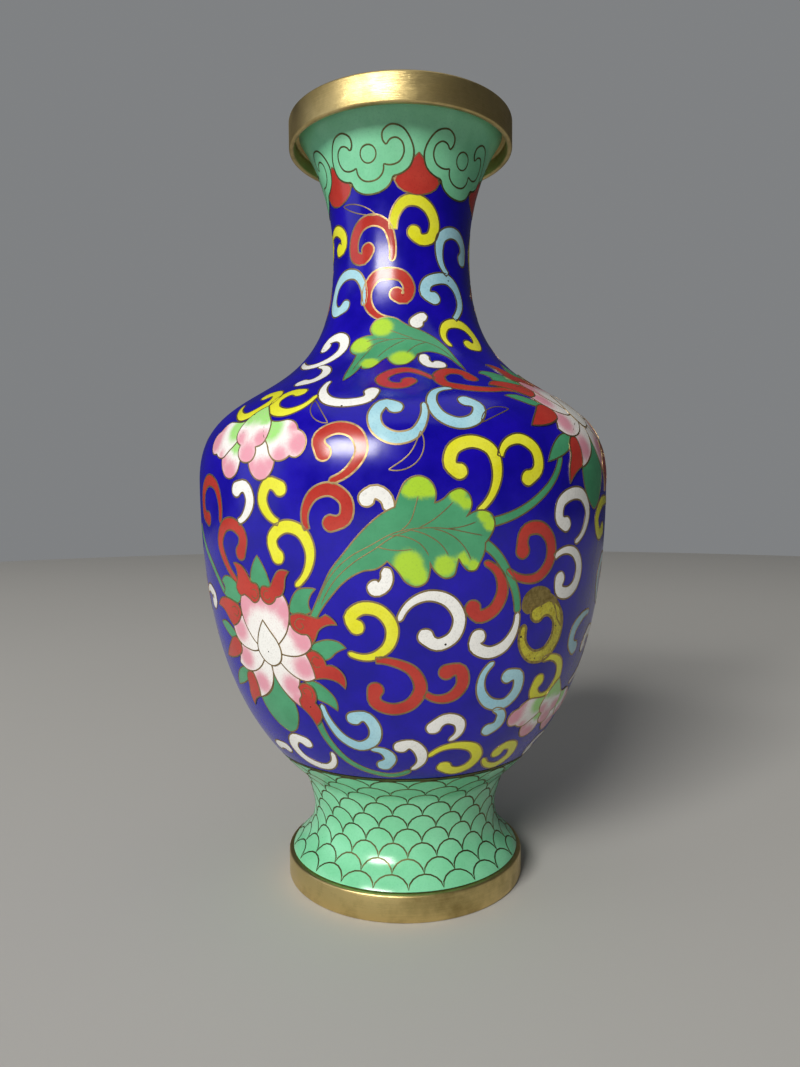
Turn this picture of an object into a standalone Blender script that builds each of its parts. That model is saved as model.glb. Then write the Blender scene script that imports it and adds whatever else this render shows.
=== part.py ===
"""A cloisonne vase, built the way one is made: a copper body in brazed sections, skins of
enamel outside and in, border wires, a brass rim and foot ring, and a recessed base disc.

Sizes are in metres, +Z is up, and the origin is the centre of the face the vase stands on.
Every turned piece is a closed outline of (radius, level) points, spun about Z. All the skins
of the wall are set in from one wall line, so they stay nested when a size changes.
"""

from math import pi, radians

import bmesh
import bpy
import numpy as np

# Overall sizes
HEIGHT = 0.2030
RIM_RADIUS = 0.0299
FOOT_RADIUS = 0.0323

# Brass rim ring: an outer band that hangs down from a top plate
RIM_BAND_HEIGHT = 0.00755
RIM_BAND_WALL = 0.0014
RIM_PLATE = 0.0036
RIM_EDGE = 0.0008
MOUTH_OVERHANG = 0.0006

# Brass foot ring: a band with an inner ledge that carries the wall and the base disc
FOOT_BAND_HEIGHT = 0.0070
FOOT_BAND_WALL = 0.0026
FOOT_LEDGE = 0.0012
FOOT_EDGE = 0.0009
LEDGE_OVERHANG = 0.0006

# The wall line, outer face of the enamel. Levels are heights above the foot's rest face.
LIP_INSET = 0.0013
NECK_RADIUS = 0.0184
NECK_DROP = 0.0353
BELLY_RADIUS = 0.0544
BELLY_LEVEL = 0.1078
WAIST_RADIUS = 0.0251
WAIST_LEVEL = 0.0188
JUNCTION_WIDENING = 0.0030
JUNCTION_RISE = 0.01055
FLARE_INSET = 0.0003

# How full each curve of the wall line is, as shares of the curve's own width or rise
LIP_FLARE = (0.64, 0.255)
NECK_HOLD = 0.40
NECK_FALL = 0.753
SHOULDER_RISE = 0.494
BELLY_FALL = 0.685
BELLY_TUCK = (0.365, 0.118)
JUNCTION_ROUND = (0.30, 0.09)
WAIST_HOLD = 0.30
WAIST_FALL = 0.72
FLARE_RISE = 0.16

# Where the wall is divided
COLLAR_DROP = 0.0210
BORDER_RISE = 0.0072
NECK_SEAM_WIDENING = 0.0096
FOOT_SEAM_DROP = 0.0034

# Skins of the wall, from the outside in
ENAMEL = 0.0009
COPPER = 0.0012
LINING = 0.0006
FIT_GAP = 0.0003
BRAZE_WIDTH = 0.0012
WIRE_WIDTH = 0.0006

# Base disc, pushed up inside the foot ring against its ledge
BASE_THICKNESS = 0.0012
BASE_ENAMEL = 0.0006

# Fineness of the solids
ROUND_STEPS = 28
CURVE_POINTS = 60
STATION_TURN = radians(23)
STATION_SPACING = 0.030
SHARP_ANGLE = radians(30)
MERGE = 1e-7

# Depths of the skins' faces below the wall line
COPPER_DEPTHS = (ENAMEL + FIT_GAP, ENAMEL + FIT_GAP + COPPER)
LINING_DEPTHS = (COPPER_DEPTHS[1] + FIT_GAP, COPPER_DEPTHS[1] + FIT_GAP + LINING)
ENAMEL_DEPTHS = (0.0, ENAMEL)
WALL = LINING_DEPTHS[1]

# Levels of the wall that follow from the sizes above
WALL_TOP = HEIGHT - RIM_PLATE - FIT_GAP
WALL_BOTTOM = FOOT_BAND_HEIGHT + FIT_GAP
NECK_LEVEL = HEIGHT - NECK_DROP
COLLAR_LEVEL = HEIGHT - COLLAR_DROP
JUNCTION_LEVEL = WAIST_LEVEL + JUNCTION_RISE
BORDER_LEVEL = JUNCTION_LEVEL + BORDER_RISE
FOOT_SEAM_LEVEL = JUNCTION_LEVEL - FOOT_SEAM_DROP

# Radii of the wall line that follow from the rings it fits and from the waist
LIP_RADIUS = RIM_RADIUS - RIM_BAND_WALL - LIP_INSET
JUNCTION_RADIUS = WAIST_RADIUS + JUNCTION_WIDENING
FLARE_RADIUS = FOOT_RADIUS - FOOT_EDGE - FLARE_INSET
NECK_SEAM_RADIUS = NECK_RADIUS + NECK_SEAM_WIDENING


def bezier(start, leave, arrive, end):
    """Points of a cubic curve, as an array of (radius, level) rows."""
    t = np.linspace(0.0, 1.0, CURVE_POINTS)[:, None]
    start, leave, arrive, end = map(np.array, (start, leave, arrive, end))
    return (
        (1 - t) ** 3 * start
        + 3 * t * (1 - t) ** 2 * leave
        + 3 * t**2 * (1 - t) * arrive
        + t**3 * end
    )


def wall_line():
    """The wall line from the lip down to the foot band, as one array of points."""
    flare_width = LIP_RADIUS - NECK_RADIUS
    flare_rise = WALL_TOP - NECK_LEVEL
    lip = bezier(
        (LIP_RADIUS, WALL_TOP),
        (LIP_RADIUS - LIP_FLARE[0] * flare_width, WALL_TOP - LIP_FLARE[1] * flare_rise),
        (NECK_RADIUS, NECK_LEVEL + NECK_HOLD * flare_rise),
        (NECK_RADIUS, NECK_LEVEL),
    )
    shoulder_rise = NECK_LEVEL - BELLY_LEVEL
    shoulder = bezier(
        (NECK_RADIUS, NECK_LEVEL),
        (NECK_RADIUS, NECK_LEVEL - NECK_FALL * shoulder_rise),
        (BELLY_RADIUS, BELLY_LEVEL + SHOULDER_RISE * shoulder_rise),
        (BELLY_RADIUS, BELLY_LEVEL),
    )
    belly_width = BELLY_RADIUS - JUNCTION_RADIUS
    belly_rise = BELLY_LEVEL - JUNCTION_LEVEL
    belly = bezier(
        (BELLY_RADIUS, BELLY_LEVEL),
        (BELLY_RADIUS, BELLY_LEVEL - BELLY_FALL * belly_rise),
        (
            JUNCTION_RADIUS + BELLY_TUCK[0] * belly_width,
            JUNCTION_LEVEL + BELLY_TUCK[1] * belly_rise,
        ),
        (JUNCTION_RADIUS, JUNCTION_LEVEL),
    )
    waist_width = JUNCTION_RADIUS - WAIST_RADIUS
    waist_rise = JUNCTION_LEVEL - WAIST_LEVEL
    waist = bezier(
        (JUNCTION_RADIUS, JUNCTION_LEVEL),
        (
            JUNCTION_RADIUS - JUNCTION_ROUND[0] * waist_width,
            JUNCTION_LEVEL - JUNCTION_ROUND[1] * waist_rise,
        ),
        (WAIST_RADIUS, WAIST_LEVEL + WAIST_HOLD * waist_rise),
        (WAIST_RADIUS, WAIST_LEVEL),
    )
    foot_rise = WAIST_LEVEL - WALL_BOTTOM
    flare = bezier(
        (WAIST_RADIUS, WAIST_LEVEL),
        (WAIST_RADIUS, WAIST_LEVEL - WAIST_FALL * foot_rise),
        (FLARE_RADIUS, WALL_BOTTOM + FLARE_RISE * foot_rise),
        (FLARE_RADIUS, WALL_BOTTOM),
    )
    return np.concatenate([lip, shoulder[1:], belly[1:], waist[1:], flare[1:]])


def directions(line):
    """Unit vectors along the line, downwards, at each of its points."""
    along = np.gradient(line, axis=0)
    return along / np.linalg.norm(along, axis=1, keepdims=True)


def set_in(line, depth):
    """The line moved into the wall by a depth."""
    along = directions(line)
    outward = np.stack([-along[:, 1], along[:, 0]], axis=1)
    return line - depth * outward


def radius_at(line, level):
    """Radius of a line at a level, carried straight on past the line's ends."""
    upward = line[::-1]
    if level > upward[-1, 1]:
        lower, upper = upward[-2], upward[-1]
    elif level < upward[0, 1]:
        lower, upper = upward[0], upward[1]
    else:
        return float(np.interp(level, upward[:, 1], upward[:, 0]))
    share = (level - lower[1]) / (upper[1] - lower[1])
    return float(lower[0] + share * (upper[0] - lower[0]))


def station_rows(line, seam_levels):
    """Rows of the line that every skin shares: closer where it bends, and one at each seam."""
    along = directions(line)
    turns = np.abs(np.diff(np.unwrap(np.arctan2(along[:, 1], along[:, 0]))))
    runs = np.linalg.norm(np.diff(line, axis=0), axis=1)
    need = np.concatenate([[0.0], np.cumsum(turns / STATION_TURN + runs / STATION_SPACING)])
    count = int(np.ceil(need[-1]))
    rows = set(np.searchsorted(need, np.linspace(0, need[-1], count + 1)[1:-1]).tolist())
    rows |= {int(np.argmin(np.abs(line[:, 1] - level))) for level in seam_levels}
    return sorted(rows)


LINE = wall_line()
SHOULDER_LINE = LINE[(LINE[:, 1] <= NECK_LEVEL) & (LINE[:, 1] >= BELLY_LEVEL)]
NECK_SEAM_LEVEL = float(np.interp(NECK_SEAM_RADIUS, SHOULDER_LINE[:, 0], SHOULDER_LINE[:, 1]))
STATIONS = station_rows(
    LINE, (COLLAR_LEVEL, NECK_SEAM_LEVEL, BELLY_LEVEL, BORDER_LEVEL, FOOT_SEAM_LEVEL)
)


def face_points(depth, top, bottom):
    """Points of one face of a skin, from its top level down to its bottom level."""
    line = set_in(LINE, depth)
    clear = 2 * FIT_GAP
    inner = [line[row] for row in STATIONS if bottom + clear < line[row, 1] < top - clear]
    return [(radius_at(line, top), top), *map(tuple, inner), (radius_at(line, bottom), bottom)]


def skin_outline(depths, top, bottom):
    """Closed outline of a skin between two depths and two levels."""
    return face_points(depths[0], top, bottom) + face_points(depths[1], top, bottom)[::-1]


def rim_outline():
    """Section of the rim ring: the top plate, with the outer band hanging from it."""
    mouth = radius_at(set_in(LINE, WALL), WALL_TOP) - MOUTH_OVERHANG
    inside = RIM_RADIUS - RIM_BAND_WALL
    plate = HEIGHT - RIM_PLATE
    return [
        (mouth + RIM_EDGE, HEIGHT),
        (RIM_RADIUS - RIM_EDGE, HEIGHT),
        (RIM_RADIUS, HEIGHT - RIM_EDGE),
        (RIM_RADIUS, HEIGHT - RIM_BAND_HEIGHT),
        (inside, HEIGHT - RIM_BAND_HEIGHT),
        (inside, plate),
        (mouth, plate),
        (mouth, HEIGHT - RIM_EDGE),
    ]


def foot_outline():
    """Section of the foot ring: the outer band, with a ledge inside its top edge."""
    inside = FOOT_RADIUS - FOOT_BAND_WALL
    ledge = radius_at(set_in(LINE, WALL), WALL_BOTTOM) - LEDGE_OVERHANG
    return [
        (ledge, FOOT_BAND_HEIGHT),
        (FOOT_RADIUS - FOOT_EDGE, FOOT_BAND_HEIGHT),
        (FOOT_RADIUS, FOOT_BAND_HEIGHT - FOOT_EDGE),
        (FOOT_RADIUS, 0.0),
        (inside, 0.0),
        (inside, FOOT_BAND_HEIGHT - FOOT_LEDGE),
        (ledge, FOOT_BAND_HEIGHT - FOOT_LEDGE),
    ]


def disc_outline(top, thickness):
    """Half section of a disc that fits inside the foot ring, from the axis out and back."""
    radius = FOOT_RADIUS - FOOT_BAND_WALL - FIT_GAP
    return [(0.0, top), (radius, top), (radius, top - thickness), (0.0, top - thickness)]


def material(name, colour, roughness, metallic):
    """A Principled material with one colour, roughness and metallic value."""
    made = bpy.data.materials.new(name)
    made.use_nodes = True
    shader = made.node_tree.nodes["Principled BSDF"]
    shader.inputs["Base Color"].default_value = (*colour, 1.0)
    shader.inputs["Roughness"].default_value = roughness
    shader.inputs["Metallic"].default_value = metallic
    made.diffuse_color = (*colour, 1.0)
    return made


def turned(name, outline, finish):
    """An object made by spinning an outline about Z. An outline that starts on Z stays open."""
    mesh_data = bmesh.new()
    points = [mesh_data.verts.new((radius, 0.0, level)) for radius, level in outline]
    pairs = list(zip(points, points[1:]))
    if outline[0][0] > 0.0:
        pairs.append((points[-1], points[0]))
    edges = [mesh_data.edges.new(pair) for pair in pairs]
    bmesh.ops.spin(
        mesh_data, geom=points + edges, cent=(0, 0, 0), axis=(0, 0, 1), angle=2 * pi,
        steps=ROUND_STEPS, use_merge=True,
    )
    bmesh.ops.remove_doubles(mesh_data, verts=mesh_data.verts, dist=MERGE)
    bmesh.ops.recalc_face_normals(mesh_data, faces=mesh_data.faces)
    mesh = bpy.data.meshes.new(name)
    mesh_data.to_mesh(mesh)
    mesh_data.free()
    mesh.shade_smooth()
    mesh.set_sharp_from_angle(angle=SHARP_ANGLE)
    mesh.materials.append(finish)
    piece = bpy.data.objects.new(name, mesh)
    bpy.context.scene.collection.objects.link(piece)
    return piece


def add_copper_body():
    """The four copper sections, with a braze ring in each seam between them."""
    copper = material("copper", (0.62, 0.30, 0.16), 0.35, 1.0)
    braze = material("silver_braze", (0.66, 0.60, 0.44), 0.40, 1.0)
    names = ("neck_copper", "shoulder_copper", "belly_copper", "foot_copper")
    seams = (NECK_SEAM_LEVEL, BELLY_LEVEL, FOOT_SEAM_LEVEL)
    clear = BRAZE_WIDTH / 2 + FIT_GAP
    tops = (WALL_TOP, *(level - clear for level in seams))
    bottoms = (*(level + clear for level in seams), WALL_BOTTOM)
    for name, top, bottom in zip(names, tops, bottoms):
        turned(name, skin_outline(COPPER_DEPTHS, top, bottom), copper)
    for name, level in zip(("neck_braze", "belly_braze", "foot_braze"), seams):
        half = BRAZE_WIDTH / 2
        turned(name, skin_outline(COPPER_DEPTHS, level + half, level - half), braze)


def add_outer_enamel():
    """The green collar, the cobalt ground and the green foot, parted by border wires."""
    half = WIRE_WIDTH / 2
    clear = half + FIT_GAP
    green = material("celadon_enamel", (0.22, 0.62, 0.38), 0.22, 0.0)
    cobalt = material("cobalt_enamel", (0.010, 0.006, 0.34), 0.15, 0.0)
    brass = material("brass_wire", (0.42, 0.27, 0.08), 0.35, 1.0)
    spans = (
        ("collar_enamel", WALL_TOP, COLLAR_LEVEL + clear, green),
        ("ground_enamel", COLLAR_LEVEL - clear, BORDER_LEVEL + clear, cobalt),
        ("foot_enamel", BORDER_LEVEL - clear, WALL_BOTTOM, green),
        ("collar_wire", COLLAR_LEVEL + half, COLLAR_LEVEL - half, brass),
        ("foot_wire", BORDER_LEVEL + half, BORDER_LEVEL - half, brass),
    )
    for name, top, bottom, finish in spans:
        turned(name, skin_outline(ENAMEL_DEPTHS, top, bottom), finish)


def add_counter_enamel():
    """The thin turquoise coat inside the body and inside the foot."""
    turquoise = material("turquoise_enamel", (0.05, 0.36, 0.40), 0.25, 0.0)
    half = FIT_GAP / 2
    spans = (
        ("inner_enamel", WALL_TOP, FOOT_SEAM_LEVEL + half),
        ("foot_lining", FOOT_SEAM_LEVEL - half, WALL_BOTTOM),
    )
    for name, top, bottom in spans:
        turned(name, skin_outline(LINING_DEPTHS, top, bottom), turquoise)


def add_bands_and_base():
    """The brass rim and foot rings, and the base disc with its enamelled underside."""
    brass = material("brass", (0.45, 0.30, 0.10), 0.32, 1.0)
    copper = material("base_copper", (0.62, 0.30, 0.16), 0.40, 1.0)
    turquoise = material("base_turquoise", (0.05, 0.36, 0.40), 0.25, 0.0)
    disc_top = FOOT_BAND_HEIGHT - FOOT_LEDGE - FIT_GAP
    enamel_top = disc_top - BASE_THICKNESS - FIT_GAP
    turned("rim_ring", rim_outline(), brass)
    turned("foot_ring", foot_outline(), brass)
    turned("base_disc", disc_outline(disc_top, BASE_THICKNESS), copper)
    turned("base_enamel", disc_outline(enamel_top, BASE_ENAMEL), turquoise)


def main():
    """Clears the scene and builds the vase."""
    for leftover in list(bpy.data.objects):
        bpy.data.objects.remove(leftover)
    add_copper_body()
    add_outer_enamel()
    add_counter_enamel()
    add_bands_and_base()


main()
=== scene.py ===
"""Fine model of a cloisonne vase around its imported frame.

The copper body and its brazed seams come from the frame. This script makes the turned brass
rings, the glass skins, the enamel cells with their wires, and every finish. Lengths are in
metres unless a name says otherwise. A place on the wall is a turn in degrees round the vase,
nought facing the camera and rising towards +X, and a climb in millimetres up the wall's outer
line from its lower edge.
"""

import logging
import math
from dataclasses import dataclass, field
from enum import Enum
from functools import cached_property
from typing import Iterable, Sequence

import bmesh
import bpy
import numpy as np
from mathutils import Euler, Matrix, Vector


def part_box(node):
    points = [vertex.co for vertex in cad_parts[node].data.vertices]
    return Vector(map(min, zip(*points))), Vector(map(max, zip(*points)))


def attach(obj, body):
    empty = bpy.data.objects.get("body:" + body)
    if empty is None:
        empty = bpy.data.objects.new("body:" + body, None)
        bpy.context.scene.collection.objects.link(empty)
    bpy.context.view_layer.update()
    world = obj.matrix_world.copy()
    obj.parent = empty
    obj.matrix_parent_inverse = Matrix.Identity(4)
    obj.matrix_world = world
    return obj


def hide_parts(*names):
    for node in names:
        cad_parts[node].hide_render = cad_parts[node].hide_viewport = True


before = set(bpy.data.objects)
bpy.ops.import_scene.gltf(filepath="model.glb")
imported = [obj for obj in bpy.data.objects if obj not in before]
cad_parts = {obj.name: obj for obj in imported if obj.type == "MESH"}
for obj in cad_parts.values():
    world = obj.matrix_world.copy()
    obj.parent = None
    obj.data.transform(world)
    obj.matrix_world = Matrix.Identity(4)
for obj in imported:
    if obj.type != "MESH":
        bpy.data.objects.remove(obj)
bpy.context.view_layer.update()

Place = tuple[float, float]
Path = Sequence[Place]
Feed = bpy.types.NodeSocket | float | tuple[float, ...]
log = logging.getLogger("vase")

MM = 0.001
BODY = "root"
MERGE = 1e-6
ROUND_STEPS = 240
FULL_TURN = 360.0
SHARP_DEGREES = 40.0
BULB = 1.24  # radius of a scroll's bulb, as a share of its stroke's greatest half width
GRAIN_MM = 0.45
GLASS_IOR = 1.52
DRIFT_MM = 9.0
FAN_TURN = 0.58  # share of a fan's length at which it is widest
CLOSE_MM = 0.02  # points nearer than this are one


# ---------------------------------------------------------------------------- the wall


@dataclass(frozen=True)
class Wall:
    """The outer line of the vase's wall, and places on it.

    Radii and levels follow the frame. Each share says how far a handle of a curve reaches
    towards the curve's other end, along its width or its rise.
    """

    top: float
    bottom: float
    lip_radius: float
    belly_radius: float
    neck_radius: float = 0.0184
    neck_level: float = 0.1677
    belly_level: float = 0.1078
    junction_radius: float = 0.0281
    junction_level: float = 0.02935
    waist_radius: float = 0.0251
    waist_level: float = 0.0188
    flare_radius: float = 0.0311
    curve_steps: int = 160
    lip_flare: float = 0.64
    lip_fall: float = 0.255
    neck_hold: float = 0.40
    neck_fall: float = 0.753
    shoulder_rise: float = 0.494
    belly_fall: float = 0.685
    belly_tuck: float = 0.365
    belly_rise: float = 0.118
    junction_round: float = 0.30
    junction_fall: float = 0.09
    waist_hold: float = 0.30
    waist_fall: float = 0.72
    flare_rise: float = 0.16

    def curve(self, start: Place, end: Place, handles: tuple[Place, Place]) -> np.ndarray:
        """Points of one cubic curve of the line.

        Args:
            start: First point, as radius and level.
            end: Last point.
            handles: Shares of its width and rise that its handles reach.

        Returns:
            Rows of radius and level.
        """
        t = np.linspace(0.0, 1.0, self.curve_steps)[:, None]
        a, d = np.array(start), np.array(end)
        b, c = a + np.array(handles[0]) * (d - a), d + np.array(handles[1]) * (a - d)
        return (1 - t) ** 3 * a + 3 * t * (1 - t) ** 2 * b + 3 * t**2 * (1 - t) * c + t**3 * d

    @cached_property
    def line(self) -> np.ndarray:
        """Rows of radius and level from the foot up to the lip."""
        points = (
            (self.lip_radius, self.top), (self.neck_radius, self.neck_level),
            (self.belly_radius, self.belly_level), (self.junction_radius, self.junction_level),
            (self.waist_radius, self.waist_level), (self.flare_radius, self.bottom),
        )
        handles = (
            ((self.lip_flare, self.lip_fall), (0.0, self.neck_hold)),
            ((0.0, self.neck_fall), (0.0, self.shoulder_rise)),
            ((0.0, self.belly_fall), (self.belly_tuck, self.belly_rise)),
            ((self.junction_round, self.junction_fall), (0.0, self.waist_hold)),
            ((0.0, self.waist_fall), (0.0, self.flare_rise)),
        )
        curves = [self.curve(*parts) for parts in zip(points, points[1:], handles)]
        return np.concatenate([curves[0], *(curve[1:] for curve in curves[1:])])[::-1]

    @cached_property
    def climbs(self) -> np.ndarray:
        """Millimetres of wall below each point of the line."""
        steps = np.linalg.norm(np.diff(self.line, axis=0), axis=1)
        return np.concatenate([[0.0], np.cumsum(steps)]) / MM

    @cached_property
    def outward(self) -> np.ndarray:
        """Unit vectors out of the wall at each point of the line, as radius and level parts."""
        along = np.gradient(self.line, axis=0)
        along /= np.linalg.norm(along, axis=1, keepdims=True)
        return np.stack([along[:, 1], -along[:, 0]], axis=1)

    def at(self, climb: np.ndarray, lift_mm: np.ndarray | float = 0.0) -> np.ndarray:
        """Radius and level of places up the wall.

        Args:
            climb: Millimetres up the wall.
            lift_mm: Millimetres out of the wall.

        Returns:
            Rows of radius and level.
        """
        point = np.stack([np.interp(climb, self.climbs, self.line[:, i]) for i in (0, 1)], axis=-1)
        out = np.stack([np.interp(climb, self.climbs, self.outward[:, i]) for i in (0, 1)], axis=-1)
        return point + out * (np.asarray(lift_mm)[..., None] * MM)

    def climb_at(self, level: float) -> float:
        """Millimetres up the wall at a level."""
        return float(np.interp(level, self.line[:, 1], self.climbs))

    def per_degree(self, climb: np.ndarray | float) -> np.ndarray:
        """Millimetres round the wall in one degree, at a climb."""
        radius = np.interp(climb, self.climbs, self.line[:, 0])
        return np.radians(radius / MM)

    def place(self, turn: np.ndarray, climb: np.ndarray, lift_mm: np.ndarray) -> np.ndarray:
        """Points in space for places on the wall.

        Args:
            turn: Degrees round the vase.
            climb: Millimetres up the wall.
            lift_mm: Millimetres out of the wall.

        Returns:
            Rows of x, y and z.
        """
        spot = self.at(climb, lift_mm)
        angle = np.radians(turn)
        return np.stack(
            [spot[..., 0] * np.sin(angle), -spot[..., 0] * np.cos(angle), spot[..., 1]], axis=-1
        )

    def face(self, top: float, bottom: float, depth: float, spacing_mm: float) -> list[Place]:
        """Section points of one face of a skin.

        Args:
            top: Upper level.
            bottom: Lower level.
            depth: How far the face lies inside the outer line.
            spacing_mm: Length of wall between points.

        Returns:
            Radius and level pairs from the top down.
        """
        high, low = self.climb_at(top), self.climb_at(bottom)
        count = max(2, int((high - low) / spacing_mm) + 1)
        rows = self.at(np.linspace(high, low, count), np.full(count, -depth / MM))
        rows[0, 1], rows[-1, 1] = top, bottom
        return [(float(radius), float(level)) for radius, level in rows]


# ---------------------------------------------------------------------------- finishes


def linear(hex_colour: str) -> tuple[float, float, float, float]:
    """Linear colour of an sRGB hex value.

    Args:
        hex_colour: Six hex digits after a hash sign.

    Returns:
        Red, green, blue and an alpha of one.
    """
    shares = [int(hex_colour[i : i + 2], 16) / 255 for i in (1, 3, 5)]
    red, green, blue = (c / 12.92 if c <= 0.04045 else ((c + 0.055) / 1.055) ** 2.4 for c in shares)
    return (red, green, blue, 1.0)


def per_metre(size_mm: float) -> float:
    """Scale of a pattern whose features are this many millimetres across."""
    return 1.0 / (size_mm * MM)


def add_node(tree: bpy.types.NodeTree, kind: str, inputs: dict | None = None, **settings) -> bpy.types.Node:
    """Adds a node with its settings and links.

    Args:
        tree: The material's node tree.
        kind: Node type.
        inputs: Socket name or number to a value, or to the output that feeds it.
        settings: Properties of the node.

    Returns:
        The new node.
    """
    node = tree.nodes.new(kind)
    for name, value in settings.items():
        setattr(node, name, value)
    for socket, value in (inputs or {}).items():
        if isinstance(value, bpy.types.NodeSocket):
            tree.links.new(value, node.inputs[socket])
        else:
            node.inputs[socket].default_value = value
    return node


def mixed(tree: bpy.types.NodeTree, share: Feed, first: Feed, second: Feed) -> bpy.types.NodeSocket:
    """The colour that lies a share of the way from the first to the second."""
    inputs = {"Factor": share, 6: first, 7: second}
    return add_node(tree, "ShaderNodeMix", inputs, data_type="RGBA").outputs[2]


def ranged(tree: bpy.types.NodeTree, value: Feed, start: float, end: float, low: float = 0.0,
           high: float = 1.0, **settings) -> bpy.types.NodeSocket:
    """A value whose run from start to end is stretched to run from low to high."""
    inputs = {"Value": value, "From Min": start, "From Max": end, "To Min": low, "To Max": high}
    return add_node(tree, "ShaderNodeMapRange", inputs, **settings).outputs[0]


def noise(tree: bpy.types.NodeTree, spot: Feed, size_mm: float, detail: float = 2.0,
          roughness: float = 0.5) -> bpy.types.NodeSocket:
    """Soft noise whose features are this many millimetres across."""
    inputs = {"Vector": spot, "Scale": per_metre(size_mm), "Detail": detail, "Roughness": roughness}
    return add_node(tree, "ShaderNodeTexNoise", inputs).outputs["Fac"]


def maths(tree: bpy.types.NodeTree, operation: str, *values: Feed) -> bpy.types.NodeSocket:
    """What an operation makes of up to three values."""
    return add_node(tree, "ShaderNodeMath", dict(enumerate(values)), operation=operation).outputs[0]


def bumped(tree: bpy.types.NodeTree, height: Feed, strength: float, depth_mm: float,
           **inputs: Feed) -> bpy.types.NodeSocket:
    """A normal that follows a height."""
    inputs = {"Height": height, "Strength": strength, "Distance": depth_mm * MM, **inputs}
    return add_node(tree, "ShaderNodeBump", inputs).outputs[0]


def feed_shader(tree: bpy.types.NodeTree, shader: bpy.types.Node, **sources: Feed) -> None:
    """Links sources to the shader's inputs of the same names, with spaces for underscores."""
    for name, source in sources.items():
        tree.links.new(source, shader.inputs[name.replace("_", " ")])


def new_material(name: str) -> tuple[bpy.types.Material, bpy.types.NodeTree, bpy.types.Node]:
    """A material with a bare shader.

    Args:
        name: The material's name.

    Returns:
        The material, its node tree and its shader node.
    """
    made = bpy.data.materials.new(name)
    made.use_nodes = True
    return made, made.node_tree, made.node_tree.nodes["Principled BSDF"]


@dataclass(frozen=True)
class Enamel:
    """Glass enamel, fired in cells and ground flush, then polished.

    The eye sees a deep even colour with a soft cloudy drift, fine grain, a few pits where
    bubbles were cut open, and a bright gloss that ripples slightly.
    """

    name: str
    slot: str
    colour: str
    pale: str
    deep: str
    tip: str | None = None
    tip_from: float = 0.35
    tip_to: float = 0.85
    root: str | None = None
    roughness: float = 0.19
    grain: float = 0.35
    pit: str = "#2A2318"
    pit_size_mm: float = 0.22
    pit_spacing_mm: float = 4.2
    pit_share: float = 0.45
    ripple_mm: float = 7.0
    cloud_mm: float = 9.0

    def pits(self, tree: bpy.types.NodeTree, spot: bpy.types.NodeSocket) -> bpy.types.NodeSocket:
        """Where the pits are.

        Args:
            tree: The material's node tree.
            spot: Object coordinates.

        Returns:
            One inside a pit and nought elsewhere.
        """
        cells = add_node(tree, "ShaderNodeTexVoronoi", {
            "Vector": spot, "Scale": per_metre(self.pit_spacing_mm)})
        chance = add_node(tree, "ShaderNodeSeparateColor", {0: cells.outputs["Color"]}).outputs[0]
        reach = ranged(tree, chance, 1.0 - self.pit_share, 1.0, 0.0, self.pit_size_mm / self.pit_spacing_mm)
        return maths(tree, "LESS_THAN", cells.outputs["Distance"], reach)

    def make(self) -> bpy.types.Material:
        """The node material of this enamel."""
        made, tree, shader = new_material(self.name)
        spot = add_node(tree, "ShaderNodeTexCoord").outputs["Object"]
        cloud = noise(tree, spot, self.cloud_mm, 3.0, 0.6)
        grain = noise(tree, spot, GRAIN_MM, 2.0, 0.7)
        colour = mixed(tree, ranged(tree, cloud, 0.35, 0.7), linear(self.colour), linear(self.pale))
        if self.tip:
            shade = add_node(tree, "ShaderNodeAttribute", attribute_name="shade").outputs["Fac"]
            shade = maths(tree, "MULTIPLY_ADD", grain, 0.35, shade)
            tip = ranged(tree, shade, self.tip_from + 0.17, self.tip_to + 0.17,
                         interpolation_type="SMOOTHSTEP")
            colour = mixed(tree, tip, colour, linear(self.tip))
            if self.root:
                root = ranged(tree, shade, 0.14, -0.55, interpolation_type="SMOOTHSTEP")
                colour = mixed(tree, root, colour, linear(self.root))
        colour = mixed(tree, ranged(tree, grain, 0.5, 0.8, 0.0, self.grain), colour, linear(self.deep))
        pit = self.pits(tree, spot)
        colour = mixed(tree, pit, colour, linear(self.pit))
        rough = ranged(tree, cloud, 0.3, 0.75, self.roughness * 0.75, self.roughness * 1.4)
        ripple = bumped(tree, noise(tree, spot, self.ripple_mm, 1.5), 0.25, 0.3)
        bump = bumped(tree, maths(tree, "SUBTRACT", 1.0, pit), 0.6, 0.08, Normal=ripple)
        feed_shader(tree, shader, Base_Color=colour, Roughness=rough, Normal=bump)
        shader.inputs["IOR"].default_value = GLASS_IOR
        return made


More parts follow.
